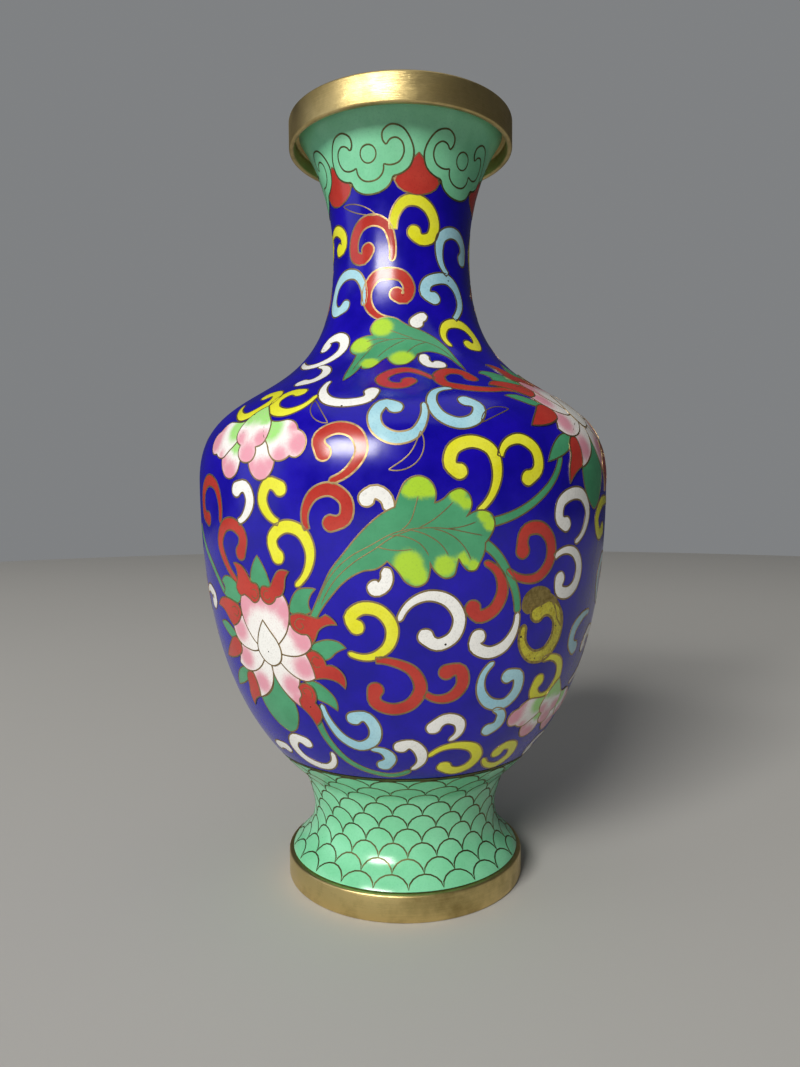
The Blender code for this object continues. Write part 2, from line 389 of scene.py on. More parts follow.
@dataclass(frozen=True)
class TurnedMetal:
    """Metal turned on a lathe and rubbed down with fine grit.

    The eye sees hair lines that run round the piece, a satin sheen and patches of tarnish.
    """

    name: str
    slot: str
    colour: str
    tarnish: str
    roughness: float = 0.30
    line_mm: float = 0.16
    patch_mm: float = 11.0
    patch_from: float = 0.48
    line_depth: float = 0.10

    def make(self) -> bpy.types.Material:
        """The node material of this metal."""
        made, tree, shader = new_material(self.name)
        spot = add_node(tree, "ShaderNodeTexCoord").outputs["Object"]
        height = add_node(tree, "ShaderNodeSeparateXYZ", {0: spot}).outputs["Z"]
        flat = add_node(tree, "ShaderNodeMapping", {"Vector": spot, "Scale": (1.0, 1.0, 0.0)}).outputs[0]
        radius = add_node(tree, "ShaderNodeVectorMath", {0: flat}, operation="LENGTH").outputs["Value"]
        rings = add_node(tree, "ShaderNodeCombineXYZ", {0: radius, 2: height}).outputs[0]
        fine, slow = (
            add_node(tree, "ShaderNodeVectorMath", {0: place, "Scale": per_metre(size_mm)},
                     operation="SCALE").outputs[0]
            for place, size_mm in ((rings, self.line_mm), (spot, DRIFT_MM))
        )
        both = add_node(tree, "ShaderNodeVectorMath", {0: fine, 1: slow}).outputs[0]
        hair = add_node(tree, "ShaderNodeTexNoise", {
            "Vector": both, "Scale": 1.0, "Detail": 3.0, "Roughness": 0.65}).outputs["Fac"]
        spread = maths(tree, "MULTIPLY_ADD", hair, 0.25, noise(tree, spot, self.patch_mm, 5.0, 0.62))
        share = ranged(tree, spread, self.patch_from + 0.1, self.patch_from + 0.42, 0.0, 0.85)
        colour = mixed(tree, share, linear(self.colour), linear(self.tarnish))
        rough = ranged(tree, spread, 0.3, 0.9, self.roughness * 0.8, self.roughness * 1.5)
        bump = bumped(tree, hair, 0.35, self.line_depth)
        feed_shader(tree, shader, Base_Color=colour, Roughness=rough, Normal=bump)
        shader.inputs["Metallic"].default_value = 1.0
        return made


class Glaze(Enum):
    """The enamels of the vase."""

    # The ground: a deep violet blue with pale pin pits
    COBALT = Enamel("cobalt_fired_enamel", "cobalt_enamel", "#0F0496", "#1A06B0", "#08033C", grain=0.25,
                    pit="#8A86B8", pit_size_mm=0.13, pit_share=0.3)
    # Collar and foot: a milky sea green, faintly clouded
    CELADON = Enamel("celadon_fired_enamel", "celadon_enamel", "#7CD0A0", "#8CDDB0", "#4FA87C", grain=0.28,
                     pit_share=0.3)
    # Scrolls, sepals and fans: a brick red
    RED = Enamel("iron_red_fired_enamel", "red_enamel", "#B4322B", "#C24034", "#7E1C18")
    # Scrolls: a clear lemon yellow
    YELLOW = Enamel("yellow_fired_enamel", "yellow_enamel", "#E4E222", "#EFEE4A", "#AEA414", grain=0.3)
    # Scrolls and lotus hearts: a chalky white with larger pits
    WHITE = Enamel("white_fired_enamel", "white_enamel", "#F2F2EF", "#FAFAF7", "#B4B4B0", grain=0.45,
                   pit_spacing_mm=2.2, pit_size_mm=0.26)
    # Scrolls: a pale sky blue
    PALE_BLUE = Enamel("pale_blue_fired_enamel", "pale_blue_enamel", "#9CD0E2", "#B4E0EA", "#6796AC",
                       grain=0.4, pit_spacing_mm=3.0)
    # Stems and lotus leaves: a flat leaf green
    LEAF = Enamel("leaf_green_fired_enamel", "leaf_enamel", "#44966A", "#50A678", "#2A6A48", grain=0.3)
    # Acanthus leaves: leaf green that turns lime in each lobe
    LOBE = Enamel("leaf_to_lime_fired_enamel", "leaf_enamel", "#44966A", "#50A678", "#2A6A48",
                  tip="#B2DC3A", tip_from=0.12, tip_to=0.62, grain=0.2)
    # Petals: white that blushes pink at the tips and green at the roots
    PETAL = Enamel("white_to_pink_fired_enamel", "pink_enamel", "#F5F3F0", "#FBFAF8", "#D6B8BE",
                   tip="#E79DB0", tip_from=0.0, tip_to=0.9, root="#A4E482", grain=0.5)
    # The inside and the base: a rougher, uneven turquoise
    TURQUOISE = Enamel("turquoise_counter_enamel", "turquoise_enamel", "#2F8E94", "#3EA5A6", "#1C5F66",
                       roughness=0.26, grain=0.5, pit_share=0.7, pit_spacing_mm=3.0, ripple_mm=4.0)
    # The worn scroll: dulled yellow, stained and full of holes
    WORN_YELLOW = Enamel("worn_yellow_enamel", "yellow_enamel", "#BDB02A", "#DAD640", "#76621E",
                         roughness=0.3, grain=0.9, pit_share=0.8, pit_spacing_mm=1.3, pit_size_mm=0.3,
                         cloud_mm=2.0)


class Metal(Enum):
    """The metals of the vase."""

    # Rim and foot rings: a soft golden sheen with lathe lines
    BRASS = TurnedMetal("satin_turned_brass", "brass", "#DCC588", "#94804A", roughness=0.34, line_depth=0.16)
    # The body: warm red copper, browned in patches
    COPPER = TurnedMetal("spun_copper", "copper", "#B06A44", "#5E3220", roughness=0.34)
    # Seams of the body: a pale dull line
    BRAZE = TurnedMetal("silver_braze", "silver_braze", "#B9A988", "#6F6248", roughness=0.42, line_mm=0.5)
    # Most wires: a thin warm glint
    GILT_WIRE = TurnedMetal("gilt_copper_wire", "cloison_wire", "#B29A70", "#6A5A3C", roughness=0.42,
                            line_mm=0.4, patch_mm=3.0)
    # Wires of the heads, the scales and the foot's border: dark olive lines
    DARK_WIRE = TurnedMetal("tarnished_copper_wire", "cloison_wire", "#6E6C48", "#3A3C24", roughness=0.5,
                            line_mm=0.4, patch_mm=3.0)
    # Bare metal by the worn scroll: rough, mottled and brown
    CORRODED = TurnedMetal("corroded_brass", "cloison_wire", "#B8A468", "#6E5C34", roughness=0.5,
                           line_mm=0.5, patch_mm=1.2, patch_from=0.45, line_depth=0.35)


MADE: dict[str, bpy.types.Material] = {}


def finish_of(finish: Glaze | Metal) -> bpy.types.Material:
    """The material of a finish, made once."""
    if finish.value.name not in MADE:
        MADE[finish.value.name] = finish.value.make()
    return MADE[finish.value.name]


# ---------------------------------------------------------------------------- meshes


def add_piece(
    mesh_data: bmesh.types.BMesh, name: str, finish: Glaze | Metal, stands_for: Iterable[str] = (),
) -> None:
    """Turns a finished bmesh into a piece that rides on the vase.

    Args:
        mesh_data: The mesh, which is freed.
        name: The piece's name.
        finish: Its enamel or metal.
        stands_for: CAD nodes that the piece replaces.
    """
    mesh = bpy.data.meshes.new(name)
    mesh_data.to_mesh(mesh)
    mesh_data.free()
    mesh.shade_smooth()
    mesh.set_sharp_from_angle(angle=math.radians(SHARP_DEGREES))
    mesh.materials.append(finish_of(finish))
    piece = bpy.data.objects.new(name, mesh)
    bpy.context.scene.collection.objects.link(piece)
    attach(piece, BODY)
    for node in stands_for:
        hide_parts(node)
    mesh.calc_loop_triangles()
    log.info("%s: %d triangles, %s", name, len(mesh.loop_triangles), finish.value.name)


def spun(section: Sequence[Place], bevel_mm: float = 0.0, segments: int = 3) -> bmesh.types.BMesh:
    """A turned body from its section.

    Args:
        section: Radius and level pairs. One that starts on the axis stays open there.
        bevel_mm: Width of the bevel on its sharp edges.
        segments: Faces across a bevel.

    Returns:
        The closed mesh.
    """
    mesh_data = bmesh.new()
    points = [mesh_data.verts.new((radius, 0.0, level)) for radius, level in section]
    pairs = list(zip(points, points[1:]))
    if section[0][0] > 0.0:
        pairs.append((points[-1], points[0]))
    edges = [mesh_data.edges.new(pair) for pair in pairs]
    bmesh.ops.spin(
        mesh_data, geom=points + edges, cent=(0, 0, 0), axis=(0, 0, 1), angle=2 * math.pi,
        steps=ROUND_STEPS, use_merge=True,
    )
    bmesh.ops.remove_doubles(mesh_data, verts=mesh_data.verts, dist=MERGE)
    bmesh.ops.recalc_face_normals(mesh_data, faces=mesh_data.faces)
    if bevel_mm:
        sharp = [edge for edge in mesh_data.edges if edge.calc_face_angle(0.0) > math.radians(30)]
        bmesh.ops.bevel(
            mesh_data, geom=sharp, offset=bevel_mm * MM, offset_type="OFFSET", affect="EDGES",
            segments=segments, profile=0.5, material=-1, clamp_overlap=True,
        )
    return mesh_data


class Form(Enum):
    """How a band's width runs from its start to its end."""

    SCROLL = "a thin tail that swells and ends in a round bulb"
    HOOK = "an even stroke that ends in a round bulb"
    STEM = "nearly even, with round ends"
    LEAF = "pointed at both ends"
    FAN = "a point that widens evenly to a round end"

    def half_widths(self, run: np.ndarray, length: float, width: float) -> np.ndarray:
        """Half widths of a band.

        Args:
            run: Millimetres from the band's start.
            length: The band's whole length in millimetres.
            width: Its greatest half width in millimetres.

        Returns:
            One half width for each place along it.
        """
        t = np.clip(run / length, 0.0, 1.0)
        if self in (Form.SCROLL, Form.HOOK):
            tail = 0.5 if self is Form.SCROLL else 0.85
            stroke = width * (tail + (1.0 - tail) * ease_in(t / 0.5))
            stroke *= np.sqrt(np.clip(run / (0.5 * width), 0.0, 1.0))
            bulb = BULB * width
            circle = np.sqrt(np.clip(bulb**2 - (run - (length - bulb)) ** 2, 0.0, None))
            return np.where(run > length - bulb, circle, np.maximum(stroke, circle))
        if self is Form.STEM:
            ends = np.clip(np.minimum(run, length - run) / width, 0.0, 1.0)
            return width * np.sqrt(ends * (2.0 - ends)) * (1.0 - 0.25 * t)
        if self is Form.LEAF:
            return width * np.clip(4.0 * t * (1.0 - t), 0.0, 1.0) ** 0.8
        narrow, round_end = np.clip(t / FAN_TURN, 0.0, 1.0), (t - FAN_TURN) / (1.0 - FAN_TURN)
        return width * np.where(t < FAN_TURN, narrow, np.sqrt(np.clip(1.0 - round_end**2, 0.0, 1.0)))


def ease_in(share: np.ndarray) -> np.ndarray:
    """A share that leaves nought and reaches one smoothly."""
    share = np.clip(share, 0.0, 1.0)
    return share * share * (3.0 - 2.0 * share)


@dataclass(frozen=True)
class Cell:
    """One enamel cell: a band along a path on the wall.

    Attributes:
        path: Places on the wall from the cell's start to its end.
        form: How its width runs.
        width: Greatest half width in millimetres.
        layer: Cells of a higher layer lie over the lower ones.
    """

    path: Path
    form: Form
    width: float
    layer: int = 0


@dataclass
class Band:
    """A band worked out on the wall, ready to be laid as a mesh.

    Attributes:
        spine: Rows of turn and climb along the middle.
        across: Unit direction to the left of the spine, in millimetres round and up.
        half: Half widths in millimetres.
    """

    spine: np.ndarray
    across: np.ndarray
    half: np.ndarray

    def ring(self, wall: Wall) -> np.ndarray:
        """Rows of turn and climb round the band, without repeats."""
        left = offset(wall, self.spine, self.across, self.half)
        right = offset(wall, self.spine, self.across, -self.half)[::-1]
        ring = np.concatenate([left, right])
        gaps = np.linalg.norm(steps_in_mm(wall, np.concatenate([ring, ring[:1]])), axis=1)
        return ring[gaps > CLOSE_MM]


def stopped(wall: Wall, band: Band, others: Sequence[np.ndarray]) -> Band:
    """A band whose start is cut off where it leaves its neighbours.

    Args:
        wall: The wall it lies on.
        band: The band.
        others: The rings of its neighbours.

    Returns:
        The band itself, or a shorter one with a square start.
    """
    covered = np.zeros(len(band.spine), bool)
    for ring in others:
        covered |= inside(band.spine, ring)
    if not covered[0] or covered.all():
        return band
    first = int(np.argmin(covered))
    shares = np.linspace(0.0, 1.0, 9)[:, None]
    between = band.spine[first - 1] + shares * (band.spine[first] - band.spine[first - 1])
    hidden = np.zeros(len(between), bool)
    for ring in others:
        hidden |= inside(between, ring)
    start = between[int(np.flatnonzero(hidden)[-1])]
    back = start + 0.05 * (band.spine[first - 1] - band.spine[first])
    spine = np.concatenate([back[None], start[None], band.spine[first:]])
    half = np.concatenate([[0.0, band.half[first]], band.half[first:]])
    return Band(spine, left_of(wall, spine, False), half)


def inside(places: np.ndarray, ring: np.ndarray) -> np.ndarray:
    """Whether places lie inside a closed ring.

    Args:
        places: Rows of turn and climb.
        ring: Rows of turn and climb round the ring.

    Returns:
        One truth value for each place.
    """
    x, y = places[:, :1], places[:, 1:]
    ax, ay = ring[:, 0], ring[:, 1]
    bx, by = np.roll(ax, -1), np.roll(ay, -1)
    rise = np.where(by == ay, 1e-12, by - ay)
    crossed = ((ay > y) != (by > y)) & (x < ax + (y - ay) * (bx - ax) / rise)
    return crossed.sum(axis=1) % 2 == 1


def offset(wall: Wall, spine: np.ndarray, across: np.ndarray, distance: np.ndarray) -> np.ndarray:
    """Places beside a spine.

    Args:
        wall: The wall they lie on.
        spine: Rows of turn and climb.
        across: Unit directions in millimetres round and up.
        distance: Millimetres to move along them.

    Returns:
        Rows of turn and climb.
    """
    scale = wall.per_degree(spine[:, 1])
    return spine + across * distance[:, None] / np.stack([scale, np.ones_like(scale)], axis=1)


def steps_in_mm(wall: Wall, line: np.ndarray) -> np.ndarray:
    """Steps between rows of turn and climb, in millimetres round and up."""
    step = np.diff(line, axis=0)
    middle = (line[1:, 1] + line[:-1, 1]) / 2
    return np.stack([step[:, 0] * wall.per_degree(middle), step[:, 1]], axis=1)


def left_of(wall: Wall, line: np.ndarray, closed: bool) -> np.ndarray:
    """Unit directions to the left of a line at each of its rows.

    Args:
        wall: The wall the line lies on.
        line: Rows of turn and climb.
        closed: Whether the last row repeats the first.

    Returns:
        Rows of millimetres round and up.
    """
    step = steps_in_mm(wall, line)
    step /= np.maximum(np.linalg.norm(step, axis=1, keepdims=True), 1e-9)
    before = np.concatenate([step[-1:] if closed else step[:1], step])
    after = np.concatenate([step, step[:1] if closed else step[-1:]])
    along = before + after
    along /= np.maximum(np.linalg.norm(along, axis=1, keepdims=True), 1e-9)
    return np.stack([-along[:, 1], along[:, 0]], axis=1)


def smooth(wall: Wall, path: Path, steps: int = 14) -> np.ndarray:
    """A smooth line through places on the wall.

    Args:
        wall: The wall they lie on.
        path: The places.
        steps: Rows made between two places.

    Returns:
        Rows of turn and climb.
    """
    knots = np.array(path, float)
    gaps = np.maximum(np.linalg.norm(steps_in_mm(wall, knots), axis=1), 1e-6)
    times = np.concatenate([[0.0], np.cumsum(gaps)])
    slopes = np.gradient(knots, times, axis=0, edge_order=2 if len(knots) > 2 else 1)
    rows = [knots[:1]]
    for i in range(len(knots) - 1):
        t = np.linspace(0.0, 1.0, steps + 1)[1:, None]
        rows.append(
            (2 * t**3 - 3 * t**2 + 1) * knots[i] + (t**3 - 2 * t**2 + t) * gaps[i] * slopes[i]
            + (3 * t**2 - 2 * t**3) * knots[i + 1] + (t**3 - t**2) * gaps[i] * slopes[i + 1]
        )
    return np.concatenate(rows)


def worked_out(wall: Wall, cell: Cell) -> Band:
    """The band of a cell.

    Args:
        wall: The wall it lies on.
        cell: The cell.

    Returns:
        Its band, with rows closer together at round ends.
    """
    line = smooth(wall, cell.path)
    if cell.form in (Form.SCROLL, Form.HOOK):
        last = steps_in_mm(wall, line[-2:])[0]
        last *= BULB * cell.width / np.linalg.norm(last)
        beyond = line[-1] + last / np.array([float(wall.per_degree(line[-1, 1])), 1.0])
        line = np.concatenate([line, beyond[None]])
    gaps = np.linalg.norm(steps_in_mm(wall, line), axis=1)
    runs = np.concatenate([[0.0], np.cumsum(gaps)])
    length = runs[-1]
    cap = min(BULB * cell.width, 0.5 * length)
    rounding = cap * (1.0 - np.cos(np.radians((0, 15, 32, 50, 70, 90))))
    spacing = min(0.8, length / 12)
    middle = np.linspace(cap, length - cap, max(2, int((length - 2 * cap) / spacing)) + 1)
    run = np.unique(np.round(np.concatenate([rounding, middle, length - rounding]), 6))
    run[-1] = length
    spine = np.stack([np.interp(run, runs, line[:, i]) for i in (0, 1)], axis=1)
    return Band(spine, left_of(wall, spine, False), cell.form.half_widths(run, length, cell.width))


@dataclass(frozen=True)
class Spray:
    """Where a motif stands on the wall.

    Attributes:
        turn: Degrees round the vase.
        climb: Millimetres up the wall.
        size: Share of the full size.
    """

    turn: float
    climb: float
    size: float = 1.0

    def path(self, wall: Wall, points: Path) -> list[Place]:
        """Places on the wall of points in millimetres right of and above the motif's heart."""
        climbs = [self.climb + up * self.size for _, up in points]
        return [
            (self.turn + right * self.size / float(wall.per_degree(climb)), climb)
            for (right, _), climb in zip(points, climbs)
        ]

    def flat(self, wall: Wall, places: np.ndarray) -> np.ndarray:
        """Millimetres right of and above the heart, at full size, for rows of turn and climb."""
        right = (places[:, 0] - self.turn) * wall.per_degree(places[:, 1])
        return np.stack([right, places[:, 1] - self.climb], axis=1) / self.size


@dataclass(frozen=True)
class Figure:
    """One enamel cell with a free outline, in millimetres right of and above its motif's heart.

    Attributes:
        arcs: Smooth arcs of its outline. Each starts at the corner where the last one ends.
        layer: Figures of a higher layer lie over the lower ones.
        blooms: Right, up, radius and strength of each spot of another colour. A strength above
            nought brings the tip colour, and one below it the root colour.
    """

    arcs: Sequence[Path]
    layer: int = 1
    blooms: Sequence[tuple[float, float, float, float]] = ()

    def tones(self, points: np.ndarray) -> np.ndarray:
        """The shade of each row of right and up."""
        tones = np.zeros(len(points))
        for right, up, radius, strength in self.blooms:
            reach = np.hypot(points[:, 0] - right, points[:, 1] - up) / radius
            near = strength * np.clip(1.3 * (1.0 - reach), 0.0, 1.0)
            tones = np.where(np.abs(near) > np.abs(tones), near, tones)
        return tones


@dataclass
class Inlay:
    """Cells or wires gathered in one mesh.

    Attributes:
        wall: The wall they lie on.
        copies: How many times the set is repeated evenly round the vase.
    """

    wall: Wall
    copies: int = 2
    mesh_data: bmesh.types.BMesh = field(default_factory=bmesh.new)

    SINK_MM = 0.22
    LIFT_MM = 0.035
    LAYER_MM = 0.03
    CROWN_MM = 0.02
    WIRE_LIFT_MM = 0.012
    WIRE_CROWN_MM = 0.012
    GRID_MM = 1.3
    WIDE_MM = 2.5
    WIRE_MM = 0.19
    OUTLINE_MM = 0.21
    TRUE_MM = 1e-4

    def lay(
        self, spine: np.ndarray, across: np.ndarray, half: np.ndarray, lift: float, crown: float,
        columns: int,
    ) -> None:
        """Lays one closed band on the wall.

        Args:
            spine: Rows of turn and climb.
            across: Unit directions to its left.
            half: Half widths in millimetres.
            lift: How far its edge stands out of the wall, in millimetres.
            crown: How far its middle stands above its edge, in millimetres.
            columns: Points across its upper face.
        """
        sides = np.concatenate([np.linspace(-1.0, 1.0, columns), [1.0, -1.0, -1.0]])
        lifts = np.concatenate([
            lift + crown * (1.0 - np.linspace(-1.0, 1.0, columns) ** 2),
            [-self.SINK_MM, -self.SINK_MM, lift],
        ])
        made = bmesh.ops.create_grid(
            self.mesh_data, x_segments=len(sides) - 1, y_segments=len(spine) - 1, size=1.0
        )["verts"]
        columns_of = [offset(self.wall, spine, across, side * half) for side in sides]
        spots = np.stack([
            self.wall.place(line[:, 0], line[:, 1], np.full(len(line), height))
            for line, height in zip(columns_of, lifts)
        ], axis=1).reshape(-1, 3)
        for vert, spot in zip(made, spots.tolist()):
            vert.co = spot
        bmesh.ops.remove_doubles(self.mesh_data, verts=made, dist=MERGE)
        self.face_out([vert for vert in made if vert.is_valid])

    def face_out(self, verts: Sequence[bmesh.types.BMVert]) -> None:
        """Turns one closed shell outward, which is the way round that adds to the mesh's volume.

        Args:
            verts: The shell's points.
        """
        faces = list({face for vert in verts for face in vert.link_faces})
        bmesh.ops.recalc_face_normals(self.mesh_data, faces=faces)
        volume = self.mesh_data.calc_volume(signed=True)
        bmesh.ops.reverse_faces(self.mesh_data, faces=faces)
        if self.mesh_data.calc_volume(signed=True) < volume:
            bmesh.ops.reverse_faces(self.mesh_data, faces=faces)

    def fill(self, cell: Cell, band: Band | None = None) -> Band:
        """Lays the glass of a cell.

        Args:
            cell: The cell.
            band: Its band, when that is already worked out.

        Returns:
            The band that was laid.
        """
        band = band or worked_out(self.wall, cell)
        lift = self.LIFT_MM + cell.layer * self.LAYER_MM
        columns = 5 if cell.width < self.WIDE_MM else 9
        self.lay(band.spine, band.across, band.half, lift, self.CROWN_MM, columns)
        return band

    def shape(self, spray: Spray, figure: Figure) -> np.ndarray:
        """Lays the glass of a free outline.

        Args:
            spray: The motif it belongs to.
            figure: The figure.

        Returns:
            Rows of turn and climb round it.
        """
        ring = np.concatenate([
            smooth(self.wall, spray.path(self.wall, arc), 5)[:-1] for arc in figure.arcs])
        self.sheet(spray, ring, figure)
        return ring

    def sheet(self, spray: Spray, ring: np.ndarray, figure: Figure) -> None:
        """Raises a flat cell from its outline, cuts it finely enough to bend, and bends it onto the wall.

        Args:
            spray: The motif it belongs to.
            ring: Rows of turn and climb round it.
            figure: The figure, for its layer and its blooms.
        """
        layers = self.mesh_data.verts.layers.float
        tone = layers.get("shade") or layers.new("shade")
        edge = spray.flat(self.wall, ring)
        low = bmesh.ops.create_circle(
            self.mesh_data, cap_ends=True, segments=len(edge), radius=1.0)["verts"]
        for vert, (right, up) in zip(low, edge.tolist()):
            vert.co = (right, up, -self.SINK_MM)
        raised = bmesh.ops.extrude_face_region(self.mesh_data, geom=list(low[0].link_faces))["geom"]
        high = [item for item in raised if isinstance(item, bmesh.types.BMVert)]
        depth = self.SINK_MM + self.LIFT_MM + figure.layer * self.LAYER_MM
        bmesh.ops.translate(self.mesh_data, verts=high, vec=(0.0, 0.0, depth))
        verts = low + high
        geom = verts + list({side for vert in verts for side in vert.link_edges})
        geom += list({face for vert in verts for face in vert.link_faces})
        for axis, across in enumerate((Vector((1.0, 0.0, 0.0)), Vector((0.0, 1.0, 0.0)))):
            for cut in np.arange(edge[:, axis].min() + self.GRID_MM, edge[:, axis].max(), self.GRID_MM):
                geom = bmesh.ops.bisect_plane(
                    self.mesh_data, geom=geom, dist=self.TRUE_MM, plane_co=across * float(cut),
                    plane_no=across,
                )["geom"]
        faces = [item for item in geom if isinstance(item, bmesh.types.BMFace)]
        bmesh.ops.triangulate(self.mesh_data, faces=faces)
        verts = [item for item in geom if isinstance(item, bmesh.types.BMVert)]
        flat = np.array([tuple(vert.co) for vert in verts])
        places = np.array(spray.path(self.wall, flat[:, :2]))
        spots = self.wall.place(places[:, 0], places[:, 1], flat[:, 2])
        for vert, spot, share in zip(verts, spots.tolist(), figure.tones(flat).tolist()):
            vert.co = spot
            vert[tone] = share
        self.face_out(verts)

    def wire(self, line: np.ndarray, closed: bool, layer: int = 0, half_mm: float = WIRE_MM) -> None:
        """Lays a wire along a line.

        Args:
            line: Rows of turn and climb.
            closed: Whether the wire joins up with its own start.
            layer: Layer of the cells that it bounds.
            half_mm: Half its width in millimetres.
        """
        gaps = np.linalg.norm(steps_in_mm(self.wall, line), axis=1)
        keep = np.concatenate([[True], gaps > CLOSE_MM])
        line = line[keep]
        half = np.full(len(line), half_mm)
        if closed:
            line = np.concatenate([line, line[:1]])
            half = np.full(len(line), half_mm)
        else:
            half[[0, -1]] = 0.0
        lift = self.LIFT_MM + layer * self.LAYER_MM + self.WIRE_LIFT_MM
        self.lay(line, left_of(self.wall, line, closed), half, lift, self.WIRE_CROWN_MM, 3)

    def outline(self, band: Band, layer: int, half_mm: float = OUTLINE_MM) -> None:
        """Lays the wire round a band.

        Args:
            band: The cell's band.
            layer: The cell's layer.
            half_mm: Half the wire's width in millimetres.
        """
        self.wire(band.ring(self.wall), True, layer, half_mm)

    def piece(self, name: str, finish: Glaze | Metal) -> None:
        """Repeats the set round the vase and makes it a piece.

        Args:
            name: The piece's name.
            finish: Its enamel or metal.
        """
        first = self.mesh_data.verts[:] + self.mesh_data.edges[:] + self.mesh_data.faces[:]
        for copy in range(1, self.copies):
            made = bmesh.ops.duplicate(self.mesh_data, geom=first)["geom"]
            turn = Matrix.Rotation(2 * math.pi * copy / self.copies, 3, "Z")
            verts = [item for item in made if isinstance(item, bmesh.types.BMVert)]
            bmesh.ops.rotate(self.mesh_data, cent=(0, 0, 0), matrix=turn, verts=verts)
        add_piece(self.mesh_data, name, finish)


# ---------------------------------------------------------------------------- sub-assemblies


@dataclass
class BrassRings:
    """The turned brass rim and foot rings."""

    wall: Wall
    rim_plate: float = 0.0036
    rim_band_wall: float = 0.0014
    mouth_overhang: float = 0.0006
    foot_band_wall: float = 0.0026
    foot_ledge: float = 0.0012
    wall_thickness: float = 0.0033
    edge_mm: float = 0.55
    strip: float = 0.001

    def rim(self) -> None:
        """The rim: a flat plate over the lip with a band that hangs from its edge."""
        low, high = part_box("rim_ring")
        radius, inside = high.x, high.x - self.rim_band_wall
        mouth = self.wall.face(self.wall.top, self.wall.top - self.strip, self.wall_thickness, 1.0)[0][0]
        mouth -= self.mouth_overhang
        plate = high.z - self.rim_plate
        add_piece(spun([
            (mouth, high.z), (radius, high.z), (radius, low.z), (inside, low.z),
            (inside, plate), (mouth, plate),
        ], self.edge_mm), "brass_rim", Metal.BRASS, ["rim_ring"])

    def foot(self) -> None:
        """The foot ring: an outer band with an inner ledge."""
        low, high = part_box("foot_ring")
        radius, inside = high.x, high.x - self.foot_band_wall
        bottom = self.wall.bottom
        ledge = self.wall.face(bottom + self.strip, bottom, self.wall_thickness, 1.0)[-1][0]
        ledge -= self.mouth_overhang
        add_piece(spun([
            (ledge, high.z), (radius, high.z), (radius, low.z), (inside, low.z),
            (inside, high.z - self.foot_ledge), (ledge, high.z - self.foot_ledge),
        ], self.edge_mm), "brass_foot", Metal.BRASS, ["foot_ring"])


@dataclass
class Skins:
    """The glass skins of the wall, the base disc and the border wires."""

    wall: Wall
    enamel: float = 0.0009
    lining: float = 0.0006
    lining_depth: float = 0.0027
    fine_mm: float = 1.5
    coarse_mm: float = 4.0
    disc_edge_mm: float = 0.15

    def skin(self, name: str, node: str, finish: Glaze | Metal, outer: float, inner: float) -> None:
        """One skin between two depths below the outer line.

        Args:
            name: The piece's name.
            node: The CAD node it stands for, which gives its levels.
            finish: Its finish.
            outer: Depth of its outer face.
            inner: Depth of its inner face.
        """
        low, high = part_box(node)
        spacing = self.coarse_mm if outer == 0.0 else self.fine_mm
        section = self.wall.face(high.z, low.z, outer, self.fine_mm)
        section += self.wall.face(high.z, low.z, inner, spacing)[::-1]
        add_piece(spun(section), name, finish, [node])

    def build(self) -> None:
        """The outer skins, the linings and the border wires."""
        outside = (0.0, self.enamel)
        inside = (self.lining_depth, self.lining_depth + self.lining)
        for name, node, finish, depths in (
            ("cobalt_ground", "ground_enamel", Glaze.COBALT, outside),
            ("celadon_collar", "collar_enamel", Glaze.CELADON, outside),
            ("celadon_foot", "foot_enamel", Glaze.CELADON, outside),
            ("collar_border", "collar_wire", Metal.GILT_WIRE, outside),
            ("foot_border", "foot_wire", Metal.DARK_WIRE, outside),
            ("counter_enamel", "inner_enamel", Glaze.TURQUOISE, inside),
            ("foot_counter_enamel", "foot_lining", Glaze.TURQUOISE, inside),
        ):
            self.skin(name, node, finish, *depths)

    def base(self) -> None:
        """The copper base disc and the enamel under it."""
        for name, node, finish in (
            ("copper_base", "base_disc", Metal.COPPER),
            ("base_counter_enamel", "base_enamel", Glaze.TURQUOISE),
        ):
            low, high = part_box(node)
            section = [(0.0, high.z), (high.x, high.z), (high.x, low.z), (0.0, low.z)]
            add_piece(spun(section, self.disc_edge_mm, 2), name, finish, [node])


